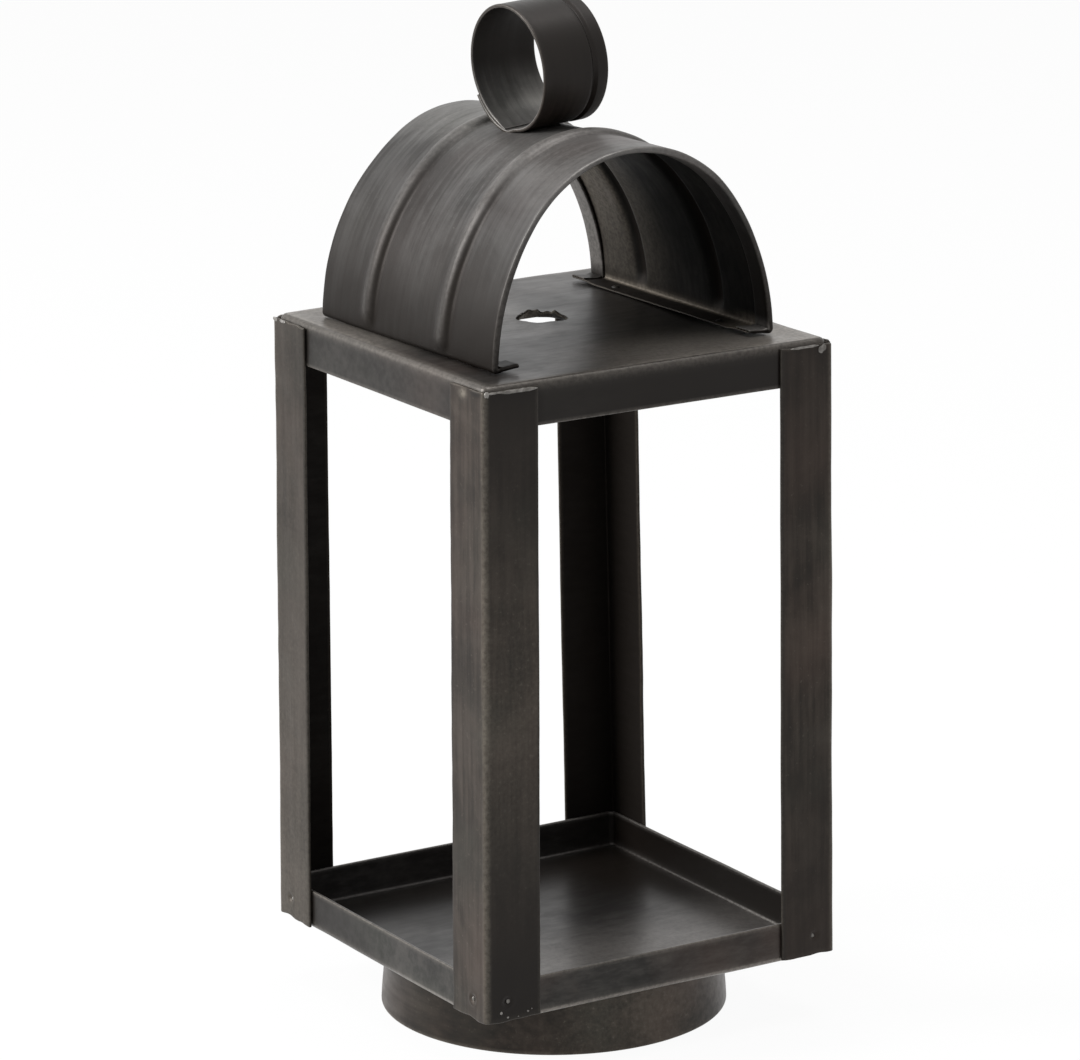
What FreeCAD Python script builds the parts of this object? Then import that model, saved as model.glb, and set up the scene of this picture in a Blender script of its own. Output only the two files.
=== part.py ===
import FreeCAD, Part
import math
import os

import Sketcher

# Rustic sheet-metal candle lantern: four folded corner posts between a base tray and a top
# pan, on a round foot, with an arched hood and a carrying ring on top.
# Frame of the model: millimetres, +Z up, origin at the centre of the foot on the floor.
# -Y is the front, and the hood's tunnel runs along Y.

# Driving sizes: name, value, meaning
DRIVING = (
    ("FrameWidth", 140.0, "outside width of the square frame over the posts"),
    ("PostLength", 214.5, "length of a corner post"),
    ("FlangeWidth", 21.5, "outside width of one leg of a post"),
    ("SheetThick", 1.2, "sheet of the posts, tray, pan, foot and ring"),
    ("BendRadius", 2.2, "outside radius of a folded corner of that sheet"),
    ("SeamGap", 0.1, "gap between two sheets that lie on each other"),
    ("TrayWall", 14.0, "height of the tray's wall with its floor"),
    ("TrayDrop", 0.8, "how far the tray reaches below the posts"),
    ("PanSkirt", 15.2, "height of the pan's skirt with its plate"),
    ("PanRise", 2.3, "how far the pan's plate stands above the posts"),
    ("FootHeight", 23.0, "height of the foot ring"),
    ("FootWidth", 122.5, "diameter of the foot ring at the floor"),
    ("FootFlare", 2.0, "how much the foot's radius grows from tray to floor"),
    ("VentWidth", 15.0, "width of the ragged vent hole"),
    ("VentRight", 3.5, "vent hole's centre to the right of the pan's centre"),
    ("VentBack", 11.5, "vent hole's centre behind the pan's centre"),
    ("HoodWidth", 112.0, "outside width of the hood at its feet"),
    ("HoodRise", 68.5, "height of the hood's crown above the pan"),
    ("HoodDepth", 108.0, "length of the hood's tunnel"),
    ("HoodSideShare", 2.17, "side arcs' radius past the half width, as a share of the"
     " rise past it"),
    ("HoodSheet", 1.0, "sheet of the hood"),
    ("HoodHem", 8.0, "width of the edge that is folded back inside"),
    ("HoodFlange", 10.5, "width of the hood's turned-in feet"),
    ("HoodBend", 1.8, "outside radius where the feet turn in"),
    ("BeadWidth", 7.0, "width of a raised bead on the hood"),
    ("BeadHeight", 1.5, "height of a raised bead on the hood"),
    ("BeadInsetShare", 0.287, "distance of a bead from the hood's end, as a share"),
    ("BeadStart", 4.0, "height above the pan at which a bead starts"),
    ("BeadSlopeShare", 0.8, "slope of a bead's flanks as a share of its height"),
    ("RingWidth", 42.4, "outside diameter of the carrying ring"),
    ("RingLength", 26.6, "length of the carrying ring along its axis"),
    ("RingBack", 6.5, "ring's centre behind the hood's centre"),
    ("RingTurn", 5.0, "degrees that the ring is turned off the X axis"),
    ("RingLift", 0.2, "film of solder between the ring and the crown"),
    ("RingLapAngle", 36.0, "degrees that the ring's strip laps over itself"),
    ("RingLapPlace", 38.0, "degrees from the ring's foot to the middle of its lap"),
    ("GrooveInset", 5.0, "distance of the ring's groove from its far end"),
    ("GrooveWidth", 1.6, "width of the ring's groove"),
    ("GrooveDepth", 0.5, "depth of the ring's groove"),
    ("WeldWidth", 4.6, "diameter of a plug weld's hole"),
    ("WeldPlay", 0.05, "gap round a weld or under the ring's solder"),
    ("WeldDip", 0.35, "how far a weld lies below the sheet's face"),
    ("WeldInset", 9.0, "distance of a weld from the frame's corner"),
    ("WeldHeight", 7.0, "distance of a weld from the post's end"),
    ("HoodWeldInset", 22.0, "distance of a foot's weld from the hood's end"),
    ("HoodWeldShare", 0.58, "weld's place across the hood's foot, as a share"),
    ("SolderLength", 9.0, "length of the solder along each side of a corner"),
    ("SolderHeight", 1.5, "height of the solder on a post's end"),
    ("SolderInset", 0.2, "step from the post's face to its solder"),
    ("SolderSlope", 0.6, "how far the solder leans in towards the pan"),
    ("SaddleLength", 20.0, "length of the ring's solder along X"),
    ("SaddleWidth", 9.0, "width of the ring's solder along Y"),
    ("SaddleHeight", 1.2, "height of the ring's solder above the crown"),
    ("TackSide", 1.6, "side of a solder tack inside the foot"),
    ("TackAngle", 12.0, "degrees of the foot that one solder tack covers"),
    ("Overrun", 1.0, "how far a cutting shape runs past the sheet"),
)

# Sizes worked out from the driving ones: name, formula, meaning
DERIVED = (
    ("FrameHalf", "FrameWidth / 2", "frame's outside face from the middle"),
    ("SeatInset", "SheetThick + SeamGap", "frame's face to the sheet inside a post"),
    ("BoxWidth", "FrameWidth - 2 * SeatInset", "outside width of the tray and the pan"),
    ("BoxHalf", "BoxWidth / 2", "outside face of the tray and the pan"),
    ("BoxInside", "BoxHalf - SheetThick", "inside face of the tray and the pan"),
    ("InnerBend", "BendRadius - SheetThick", "inside radius of a folded corner"),
    ("PostBase", "FootHeight + TrayDrop", "height of the posts' lower ends"),
    ("PostTop", "PostBase + PostLength", "height of the posts' upper ends"),
    ("PanTop", "PostTop + PanRise", "height of the pan's plate"),
    ("PanBase", "PanTop - PanSkirt", "height of the skirt's lower edge"),
    ("FootHalf", "FootWidth / 2", "outside radius of the foot at the floor"),
    ("FootInside", "FootHalf - SheetThick", "inside radius of the foot at the floor"),
    ("NeckHalf", "FootHalf - FootFlare", "outside radius of the foot at the tray"),
    ("NeckInside", "NeckHalf - SheetThick", "inside radius of the foot at the tray"),
    ("VentRadius", "VentWidth / 2", "radius of the vent hole's tips"),
    ("HoodHalf", "HoodWidth / 2", "outside face of the hood's feet"),
    ("SideRadius", "HoodHalf + (HoodRise - HoodHalf) * HoodSideShare",
     "radius of the hood's side arcs"),
    ("SideCentre", "SideRadius - HoodHalf", "side arc's centre past the middle"),
    ("CrownRadius", "(HoodHalf ^ 2 + HoodRise ^ 2 - 2 * HoodHalf * SideRadius)"
     " / (2 * (HoodRise - SideRadius))", "radius of the hood's crown arc"),
    ("WallSide", "SideRadius - HoodSheet", "side arc's radius inside the sheet"),
    ("WallCrown", "CrownRadius - HoodSheet", "crown arc's radius inside the sheet"),
    ("HemSide", "SideRadius - 2 * HoodSheet", "side arc's radius inside the hem"),
    ("HemCrown", "CrownRadius - 2 * HoodSheet", "crown arc's radius inside the hem"),
    ("WallDepth", "HoodDepth - 2 * HoodHem", "length of the hood between its hems"),
    ("FlangeInner", "HoodHalf - HoodFlange", "free edge of the hood's feet"),
    ("FlangeOuter", "HoodHalf - HoodSheet / 2", "middle of the hood's sheet"),
    ("CrownTop", "PanTop + HoodRise", "height of the hood's crown"),
    ("CrownHeart", "CrownTop - CrownRadius", "height of the crown arc's centre"),
    ("BeadInset", "HoodDepth * BeadInsetShare", "distance of a bead from the hood's end"),
    ("BeadPlace", "HoodDepth / 2 - BeadInset", "bead's middle from the hood's middle"),
    ("BeadSlope", "BeadHeight * BeadSlopeShare", "width of a bead's sloping flank"),
    ("RidgeSide", "SideRadius + BeadHeight", "side arc's radius on top of a bead"),
    ("RidgeCrown", "CrownRadius + BeadHeight", "crown arc's radius on top of a bead"),
    ("GullySide", "RidgeSide - HoodSheet", "side arc's radius in a bead's hollow"),
    ("GullyCrown", "RidgeCrown - HoodSheet", "crown arc's radius in a bead's hollow"),
    ("GullyWidth", "BeadWidth - 2.5 * HoodSheet", "width of a bead's hollow"),
    ("GullyStart", "BeadStart + HoodSheet", "height at which a bead's hollow starts"),
    ("RingRadius", "RingWidth / 2", "outside radius of the ring"),
    ("RingInside", "RingRadius - SheetThick", "inside radius of the ring"),
    ("LapOutside", "RingRadius + SheetThick", "outside radius of the ring's lap"),
    ("RingHalf", "RingLength / 2", "ring's end from its middle"),
    ("RingAxis", "CrownTop + RingLift + RingRadius", "height of the ring's axis"),
    ("RingAside", "RingBack * cos(RingTurn)", "ring's axis from the middle, square to it"),
    ("GrooveOuter", "RingHalf - GrooveInset", "groove's side towards the far end"),
    ("GrooveInner", "GrooveOuter - GrooveWidth", "groove's side towards the middle"),
    ("GrooveFloor", "RingRadius - GrooveDepth", "radius of the groove's floor"),
    ("GrooveBrim", "LapOutside + Overrun", "radius to which the groove is cut"),
    ("LapGroove", "LapOutside - GrooveDepth", "radius of the groove's floor in the lap"),
    ("HoleRadius", "WeldWidth / 2", "radius of a weld's hole"),
    ("WeldRadius", "HoleRadius - WeldPlay", "radius of a weld"),
    ("WeldSpan", "FrameHalf - WeldInset", "weld's distance from the middle"),
    ("LowWelds", "PostBase + WeldHeight", "height of the lower welds"),
    ("WeldLength", "SeatInset - WeldDip", "length of a plug weld in a post"),
    ("FootWeldLength", "HoodSheet - WeldDip", "length of a plug weld in a foot"),
    ("FootWeldAside", "HoodHalf - HoodFlange * HoodWeldShare", "weld's place across"),
    ("FootWeldAlong", "HoodDepth / 2 - HoodWeldInset", "weld's place along the foot"),
    ("SolderFace", "FrameHalf - SolderInset", "solder's outer face at its root"),
    ("SolderEnd", "FrameHalf - SolderLength", "end of the corner's solder"),
    ("SolderLean", "SolderFace - SolderSlope", "solder's outer face at its top"),
    ("SolderTop", "PostTop + SolderHeight", "top of the corner's solder"),
    ("SaddleBed", "CrownRadius + WeldPlay", "radius of the solder's bed on the crown"),
    ("SaddleHalf", "SaddleLength / 2", "end of the ring's solder from the middle"),
    ("SaddleTop", "CrownTop + SaddleHeight", "top of the ring's solder"),
    ("TackInside", "NeckInside - TackSide", "inner edge of a tack on the tray"),
    ("TackBase", "FootHeight - TackSide", "lower edge of a tack on the foot"),
    ("TackFoot", "NeckInside + FootFlare * TackSide / FootHeight",
     "foot's inside radius at a tack's lower edge"),
)

# The vent's torn edge: its radius at even steps of angle, as shares of the tips' radius
VENT_EDGE_SHARES = (1.0, 0.66, 0.88, 0.58, 0.94, 0.7, 1.0, 0.62, 0.84, 0.6)

# Corner posts: node, side along X, side along Y, turn about Z
POSTS = (
    ("post_front_left", -1, -1, 0),
    ("post_front_right", 1, -1, 90),
    ("post_back_right", 1, 1, 180),
    ("post_back_left", -1, 1, 270),
)
CORNERS = len(POSTS)
FULL_TURN = 360

ORIGIN = (-1, 1)
X_LINE = -1
Y_LINE = -2
START = 1
END = 2
CENTRE = 3
UP = FreeCAD.Vector(0, 0, 1)

doc = FreeCAD.newDocument("Lantern")
sheet = doc.addObject("Spreadsheet::Sheet", "Sizes")


def fill_sheet():
    """Write each driving size as a plain number and each worked-out size as a formula."""
    rows = [(name, str(value), note) for name, value, note in DRIVING]
    rows += [(name, "=" + formula, note) for name, formula, note in DERIVED]
    for row, (name, text, note) in enumerate(rows, start=1):
        sheet.set("A%d" % row, name)
        sheet.set("B%d" % row, text)
        sheet.setAlias("B%d" % row, name)
        sheet.set("C%d" % row, note)
    doc.recompute()


def size(term):
    """The present value of a named size, or its negative where the name has a minus."""
    if term == "0":
        return 0.0
    value = float(sheet.get(term.lstrip("-")))
    return -value if term.startswith("-") else value


def new_body(label):
    """A body for one piece, named as its node."""
    body = doc.addObject("PartDesign::Body", label)
    body.Label = label
    body.AllowCompound = True
    return body


def origin_part(body, role):
    """One of the body's own planes or axes."""
    return [p for p in body.Origin.OriginFeatures if p.Role == role][0]


def new_sketch(body, role, name, offset=None):
    """A sketch on one of the body's own planes, moved along its normal by a named size."""
    sketch = body.newObject("Sketcher::SketchObject", name)
    sketch.AttachmentSupport = [(origin_part(body, role), "")]
    sketch.MapMode = "FlatFace"
    if offset:
        sketch.setExpression("AttachmentOffset.Base.z", named(offset))
    return sketch


def named(term):
    """A named size as an expression reads it."""
    if term.startswith("-"):
        return "-Sizes." + term[1:]
    return "Sizes." + term


def bind(sketch, term, kind, *ends):
    """Add a dimension to a sketch and tie it to a named size."""
    index = sketch.addConstraint(Sketcher.Constraint(kind, *ends, size(term)))
    sketch.setExpression("Constraints[%d]" % index, named(term))


def join(sketch, *ends):
    """Make two ends of a sketch's lines meet."""
    sketch.addConstraint(Sketcher.Constraint("Coincident", *ends))


def place(sketch, geometry, point, across, along):
    """Tie one point of a sketch to named distances from the sketch's origin."""
    here = (geometry, point)
    for kind, line, term in (("DistanceX", Y_LINE, across), ("DistanceY", X_LINE, along)):
        if term == "0":
            sketch.addConstraint(Sketcher.Constraint("PointOnObject", *here, line))
        elif term.startswith("-"):
            bind(sketch, term[1:], kind, *here, *ORIGIN)
        else:
            bind(sketch, term, kind, *ORIGIN, *here)


def polygon(sketch, corners):
    """Draw a closed outline of straight lines, each corner tied to two named sizes."""
    first = sketch.GeometryCount
    points = [FreeCAD.Vector(size(across), size(along), 0) for across, along in corners]
    for index, point in enumerate(points):
        sketch.addGeometry(Part.LineSegment(point, points[(index + 1) % len(points)]))
    for index, (across, along) in enumerate(corners):
        join(sketch, first + (index - 1) % len(points), END, first + index, START)
        place(sketch, first + index, START, across, along)


def rectangle(sketch, left, right, low, high):
    """Draw a rectangle between four named sizes."""
    polygon(sketch, ((left, low), (right, low), (right, high), (left, high)))


def disc(sketch, across, along, radius):
    """Draw a circle with a named centre and radius."""
    centre = FreeCAD.Vector(size(across), size(along), 0)
    geometry = sketch.addGeometry(Part.Circle(centre, UP, size(radius)))
    place(sketch, geometry, CENTRE, across, along)
    bind(sketch, radius, "Radius", geometry)


def arc(sketch, across, up, radius, start, end):
    """Draw an arc about a centre, between two angles in radians, and return its number."""
    circle = Part.Circle(FreeCAD.Vector(across, up, 0), UP, radius)
    return sketch.addGeometry(Part.ArcOfCircle(circle, start, end))


def arch(sketch, side, crown, foot="0"):
    """Draw the hood's arch of three tangent arcs from one foot over the crown to the other.
    The side arcs have their centres on the pan's level, so the feet stand upright. A line
    between the feet, on the pan or at a named height above it, closes the arch."""
    side_radius = size(side)
    crown_radius = size(crown)
    centre = size("SideCentre")
    heart = math.sqrt((side_radius - crown_radius) ** 2 - centre ** 2)
    turn = math.atan2(heart, centre)
    begin = math.asin(size(foot) / side_radius)
    right = arc(sketch, -centre, 0, side_radius, begin, turn)
    top = arc(sketch, 0, heart, crown_radius, turn, math.pi - turn)
    left = arc(sketch, centre, 0, side_radius, math.pi - turn, math.pi - begin)
    sketch.addConstraint(Sketcher.Constraint("Tangent", right, END, top, START))
    sketch.addConstraint(Sketcher.Constraint("Tangent", top, END, left, START))
    place(sketch, right, CENTRE, "-SideCentre", "0")
    place(sketch, left, CENTRE, "SideCentre", "0")
    bind(sketch, side, "Radius", right)
    bind(sketch, side, "Radius", left)
    bind(sketch, crown, "Radius", top)
    for geometry, point in ((right, START), (left, END)):
        if foot == "0":
            sketch.addConstraint(Sketcher.Constraint("PointOnObject", geometry, point, X_LINE))
        else:
            bind(sketch, foot, "DistanceY", *ORIGIN, geometry, point)
    span = Part.LineSegment(sketch.getPoint(left, END), sketch.getPoint(right, START))
    base = sketch.addGeometry(span)
    join(sketch, left, END, base, START)
    join(sketch, base, END, right, START)


def extrude(body, kind, sketch, name, length, both=False, other_way=False):
    """Pad or pocket a sketch by a named length, to one side or to both sides."""
    feature = body.newObject("PartDesign::" + kind, name)
    feature.Profile = sketch
    feature.setExpression("Length", named(length))
    feature.SideType = "Symmetric" if both else "One side"
    feature.Reversed = other_way
    doc.recompute()
    return feature


def turn_about(body, kind, sketch, name, line, angle=None):
    """Revolve or groove a sketch about one of its own axis lines, by a full turn or by a
    named angle centred on the sketch."""
    feature = body.newObject("PartDesign::" + kind, name)
    feature.Profile = sketch
    feature.ReferenceAxis = (sketch, [line])
    if angle:
        feature.setExpression("Angle", named(angle))
        feature.Midplane = True
    else:
        feature.Angle = FULL_TURN
    doc.recompute()
    return feature


def round_edges(body, base, name, radius, wanted):
    """Round those edges of a feature whose middle and direction the test accepts."""
    chosen = []
    for number, edge in enumerate(base.Shape.Edges, start=1):
        span = edge.Vertexes[-1].Point.sub(edge.Vertexes[0].Point)
        if wanted(edge.CenterOfMass, span):
            chosen.append("Edge%d" % number)
    feature = body.newObject("PartDesign::Fillet", name)
    feature.Base = (base, chosen)
    feature.setExpression("Radius", named(radius))
    doc.recompute()
    return feature


def repeat_round(body, feature, name):
    """Repeat a feature at the four corners or sides, about the upright axis."""
    pattern = body.newObject("PartDesign::PolarPattern", name)
    pattern.Originals = [feature]
    pattern.Axis = (origin_part(body, "Z_Axis"), [""])
    pattern.Angle = FULL_TURN
    pattern.Occurrences = CORNERS
    body.Tip = pattern
    doc.recompute()
    return pattern


def near(value, target):
    """Whether two lengths agree to within a hundredth of the sheet's thickness."""
    return abs(value - target) < size("SeamGap") / 10


def foot_ring():
    """Round foot: an upright strip, a little wider at the floor than under the tray."""
    body = new_body("foot_ring")
    sketch = new_sketch(body, "XZ_Plane", "FootSection")
    polygon(sketch, (("FootInside", "0"), ("FootHalf", "0"),
                     ("NeckHalf", "FootHeight"), ("NeckInside", "FootHeight")))
    turn_about(body, "Revolution", sketch, "FootWall", "V_Axis")
    return body


def folded_box(label, wall, height, upside_down):
    """Square tray of one sheet with rounded folds, open at the top, or upside down as the
    pan, open at the bottom."""
    body = new_body(label)
    outside = new_sketch(body, "XY_Plane", label + "_outline")
    rectangle(outside, "-BoxHalf", "BoxHalf", "-BoxHalf", "BoxHalf")
    block = extrude(body, "Pad", outside, label + "_block", wall)
    closed_level = size(wall) if upside_down else 0.0

    def on_fold(middle, span):
        upright = near(span.x, 0) and near(span.y, 0)
        return upright or near(middle.z, closed_level)

    folded = round_edges(body, block, label + "_folds", "BendRadius", on_fold)
    inside = new_sketch(body, "XY_Plane", label + "_inside")
    rectangle(inside, "-BoxInside", "BoxInside", "-BoxInside", "BoxInside")
    if not upside_down:
        inside.setExpression("AttachmentOffset.Base.z", named(wall))
    hollow = body.newObject("PartDesign::Pocket", label + "_hollow")
    hollow.Profile = inside
    hollow.Reversed = upside_down
    hollow.setExpression("Length", named(wall) + " - Sizes.SheetThick")
    doc.recompute()
    if hollow.Shape.Volume >= folded.Shape.Volume:
        raise RuntimeError(label + " was not hollowed")
    floor_level = size(wall) - size("SheetThick") if upside_down else size("SheetThick")

    def in_hollow(middle, span):
        within = max(abs(middle.x), abs(middle.y)) < size("BoxInside") + size("SeamGap")
        return within and near(middle.z, floor_level)

    round_edges(body, hollow, label + "_inner_folds", "InnerBend", in_hollow)
    body.setExpression("Placement.Base.z", named(height))
    return body


def base_tray():
    """Tray that the candle stands in, held inside the posts' lower ends."""
    return folded_box("base_tray", "TrayWall", "FootHeight", False)


def top_pan():
    """Pan that closes the top, with its skirt inside the posts and a torn vent hole."""
    body = folded_box("top_pan", "PanSkirt", "PanBase", True)
    plate = body.Tip
    sketch = new_sketch(body, "XY_Plane", "VentEdge")
    step = math.radians(FULL_TURN / len(VENT_EDGE_SHARES))
    rays = [(share, step * number) for number, share in enumerate(VENT_EDGE_SHARES)]
    middle = FreeCAD.Vector(size("VentRight"), size("VentBack"), 0)
    points = []
    for share, angle in rays:
        ray = FreeCAD.Vector(math.cos(angle), math.sin(angle), 0)
        points.append(middle + ray * size("VentRadius") * share)
    for number, point in enumerate(points):
        sketch.addGeometry(Part.LineSegment(point, points[(number + 1) % len(points)]))
    for number, (share, angle) in enumerate(rays):
        join(sketch, (number - 1) % len(points), END, number, START)
        across = "Sizes.VentRight + Sizes.VentRadius * %.6f" % (share * math.cos(angle))
        along = "Sizes.VentBack + Sizes.VentRadius * %.6f" % (share * math.sin(angle))
        for kind, formula, value in (("DistanceX", across, points[number].x),
                                     ("DistanceY", along, points[number].y)):
            ends = ORIGIN + (number, START)
            if value < 0:
                ends = (number, START) + ORIGIN
                formula = "-(%s)" % formula
            index = sketch.addConstraint(Sketcher.Constraint(kind, *ends, abs(value)))
            sketch.setExpression("Constraints[%d]" % index, formula)
    vent = extrude(body, "Pocket", sketch, "Vent", "PanSkirt", other_way=True)
    if vent.Shape.Volume >= plate.Shape.Volume:
        raise RuntimeError("the vent hole was not cut")
    return body


def corner_post(label, side_x, side_y, turn):
    """Upright angle folded from one sheet, its corner outwards, with a hole low in each leg
    for a plug weld."""
    body = new_body(label)
    section = new_sketch(body, "XY_Plane", label + "_section")
    polygon(section, (("0", "0"), ("FlangeWidth", "0"), ("FlangeWidth", "SheetThick"),
                      ("SheetThick", "SheetThick"), ("SheetThick", "FlangeWidth"),
                      ("0", "FlangeWidth")))
    angle = extrude(body, "Pad", section, label + "_angle", "PostLength")

    def outer_fold(middle, span):
        return near(middle.x, 0) and near(middle.y, 0)

    def inner_fold(middle, span):
        return near(middle.x, size("SheetThick")) and near(middle.y, size("SheetThick"))

    outer = round_edges(body, angle, label + "_fold", "BendRadius", outer_fold)
    solid = round_edges(body, outer, label + "_inner_fold", "InnerBend", inner_fold)
    before = solid.Shape.Volume
    for plane, other_way in (("XZ_Plane", False), ("YZ_Plane", True)):
        holes = new_sketch(body, plane, label + plane)
        disc(holes, "WeldInset", "WeldHeight", "HoleRadius")
        cut = extrude(body, "Pocket", holes, label + plane + "_holes", "BendRadius",
                      other_way=other_way)
        if cut.Shape.Volume >= before:
            raise RuntimeError(label + " has no weld holes")
        before = cut.Shape.Volume
    body.Placement = FreeCAD.Placement(FreeCAD.Vector(), FreeCAD.Rotation(UP, turn))
    body.setExpression("Placement.Base.x", "%d * Sizes.FrameHalf" % side_x)
    body.setExpression("Placement.Base.y", "%d * Sizes.FrameHalf" % side_y)
    body.setExpression("Placement.Base.z", "Sizes.PostBase")
    return body


def hood_arch(body, name, side, crown, foot="0", offset=None):
    """A sketch of the hood's arch across the tunnel, at a named place along it."""
    sketch = new_sketch(body, "XZ_Plane", name, offset)
    arch(sketch, side, crown, foot)
    return sketch


def ridge(body, name, offset):
    """Raise one bead on the hood: a narrow arch that stands proud, with sloping flanks."""
    sketch = hood_arch(body, name, "RidgeSide", "RidgeCrown", "BeadStart", offset)
    raised = extrude(body, "Pad", sketch, name + "_raised", "BeadWidth", both=True)
    middle_y = -size(offset)
    rim = size("BeadWidth") / 2
    low = size("BeadStart")
    chosen = []
    for number, edge in enumerate(raised.Shape.Edges, start=1):
        middle = edge.CenterOfMass
        outer = edge.Curve.TypeId == "Part::GeomCircle"
        if outer and near(abs(middle.y - middle_y), rim) and middle.z > low:
            radius = edge.Curve.Radius
            if near(radius, size("RidgeSide")) or near(radius, size("RidgeCrown")):
                chosen.append("Edge%d" % number)
    flank = body.newObject("PartDesign::Chamfer", name + "_flanks")
    flank.Base = (raised, chosen)
    flank.setExpression("Size", named("BeadSlope"))
    doc.recompute()
    return flank


def hood():
    """Arched hood of one sheet: hemmed at both ends, stiffened by two pressed beads, and
    turned in at its feet, which lie on the pan."""
    body = new_body("hood")
    outside = hood_arch(body, "HoodOutside", "SideRadius", "CrownRadius")
    extrude(body, "Pad", outside, "HoodBlock", "HoodDepth", both=True)
    ridge(body, "FrontBead", "BeadPlace")
    ridge(body, "BackBead", "-BeadPlace")
    hem = hood_arch(body, "HoodHemLine", "HemSide", "HemCrown")
    extrude(body, "Pocket", hem, "HoodTunnel", "HoodDepth", both=True)
    inside = hood_arch(body, "HoodInside", "WallSide", "WallCrown")
    extrude(body, "Pocket", inside, "HoodWall", "WallDepth", both=True)
    for name, offset in (("FrontGully", "BeadPlace"), ("BackGully", "-BeadPlace")):
        hollow = hood_arch(body, name, "GullySide", "GullyCrown", "GullyStart", offset)
        extrude(body, "Pocket", hollow, name + "_hollow", "GullyWidth", both=True)
    feet = new_sketch(body, "XZ_Plane", "HoodFeet")
    rectangle(feet, "FlangeInner", "FlangeOuter", "0", "HoodSheet")
    rectangle(feet, "-FlangeOuter", "-FlangeInner", "0", "HoodSheet")
    flanged = extrude(body, "Pad", feet, "HoodFlanges", "HoodDepth", both=True)

    def foot_fold(middle, span):
        return near(middle.z, 0) and near(abs(middle.x), size("HoodHalf"))

    folded = round_edges(body, flanged, "HoodFolds", "HoodBend", foot_fold)
    holes = new_sketch(body, "XY_Plane", "HoodWeldHoles")
    foot_welds(holes, "HoleRadius")
    cut = extrude(body, "Pocket", holes, "HoodHoles", "BeadStart", other_way=True)
    if cut.Shape.Volume >= folded.Shape.Volume:
        raise RuntimeError("the hood's feet have no weld holes")
    body.setExpression("Placement.Base.z", "Sizes.PanTop")
    return body


def foot_welds(sketch, radius):
    """Draw the circles of the four welds in the hood's feet."""
    for across in ("-FootWeldAside", "FootWeldAside"):
        for along in ("-FootWeldAlong", "FootWeldAlong"):
            disc(sketch, across, along, radius)


def carry_ring():
    """Short tube rolled from a strip, its outer end lapped over the lower back side, with a
    rolled groove near its far end. It stands on the crown, turned a little off the middle."""
    body = new_body("carry_ring")
    wall = new_sketch(body, "XZ_Plane", "RingWall")
    rectangle(wall, "-RingHalf", "RingHalf", "RingInside", "RingRadius")
    tube = turn_about(body, "Revolution", wall, "RingTube", "H_Axis")
    line = new_sketch(body, "XZ_Plane", "GrooveLine")
    rectangle(line, "GrooveInner", "GrooveOuter", "GrooveFloor", "GrooveBrim")
    groove = turn_about(body, "Groove", line, "RingGroove", "H_Axis")
    lap = new_sketch(body, "XZ_Plane", "RingLap")
    turned = FreeCAD.Rotation(FreeCAD.Vector(1, 0, 0), size("RingLapPlace"))
    lap.AttachmentOffset = FreeCAD.Placement(FreeCAD.Vector(), turned)
    lap.setExpression("AttachmentOffset.Rotation.Angle", "Sizes.RingLapPlace")
    rectangle(lap, "-RingHalf", "RingHalf", "-LapOutside", "-GrooveFloor")
    lapped = turn_about(body, "Revolution", lap, "RingLapped", "H_Axis", "RingLapAngle")
    again = new_sketch(body, "XZ_Plane", "LapGrooveLine")
    rectangle(again, "GrooveInner", "GrooveOuter", "LapGroove", "GrooveBrim")
    done = turn_about(body, "Groove", again, "LapGrooved", "H_Axis")
    if groove.Shape.Volume >= tube.Shape.Volume or done.Shape.Volume >= lapped.Shape.Volume:
        raise RuntimeError("the ring's groove was not cut")
    turned = FreeCAD.Rotation(UP, size("RingTurn"))
    body.Placement = FreeCAD.Placement(FreeCAD.Vector(), turned)
    body.setExpression("Placement.Rotation.Angle", "Sizes.RingTurn")
    body.setExpression("Placement.Base.y", "Sizes.RingBack")
    body.setExpression("Placement.Base.z", "Sizes.RingAxis")
    return body


def bottom_welds():
    """Plug welds that join both legs of each post to the tray's wall behind them."""
    body = new_body("bottom_welds")
    sketch = new_sketch(body, "XZ_Plane", "WeldDiscs", "BoxHalf")
    disc(sketch, "-WeldSpan", "LowWelds", "WeldRadius")
    disc(sketch, "WeldSpan", "LowWelds", "WeldRadius")
    pair = extrude(body, "Pad", sketch, "WeldPair", "WeldLength")
    repeat_round(body, pair, "WeldsAll")
    return body


def hood_welds():
    """Plug welds that hold the hood's feet to the pan."""
    body = new_body("hood_welds")
    sketch = new_sketch(body, "XY_Plane", "HoodWeldDiscs", "PanTop")
    foot_welds(sketch, "WeldRadius")
    extrude(body, "Pad", sketch, "HoodWeldPads", "FootWeldLength")
    return body


def corner_solder():
    """Solder in the step where each post ends below the pan's plate, leaning in to the pan."""
    body = new_body("corner_solder")
    levels = []
    for height, face in (("PostTop", "-SolderFace"), ("SolderTop", "-SolderLean")):
        sketch = new_sketch(body, "XY_Plane", "SolderAt" + height, height)
        polygon(sketch, ((face, face), ("-SolderEnd", face), ("-SolderEnd", "-BoxHalf"),
                         ("-BoxHalf", "-BoxHalf"), ("-BoxHalf", "-SolderEnd"),
                         (face, "-SolderEnd")))
        levels.append(sketch)
    doc.recompute()
    run = body.newObject("PartDesign::AdditiveLoft", "SolderRun")
    run.Profile = levels[0]
    run.Sections = levels[1:]
    run.Ruled = True
    doc.recompute()
    repeat_round(body, run, "SolderCorners")
    return body


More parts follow.
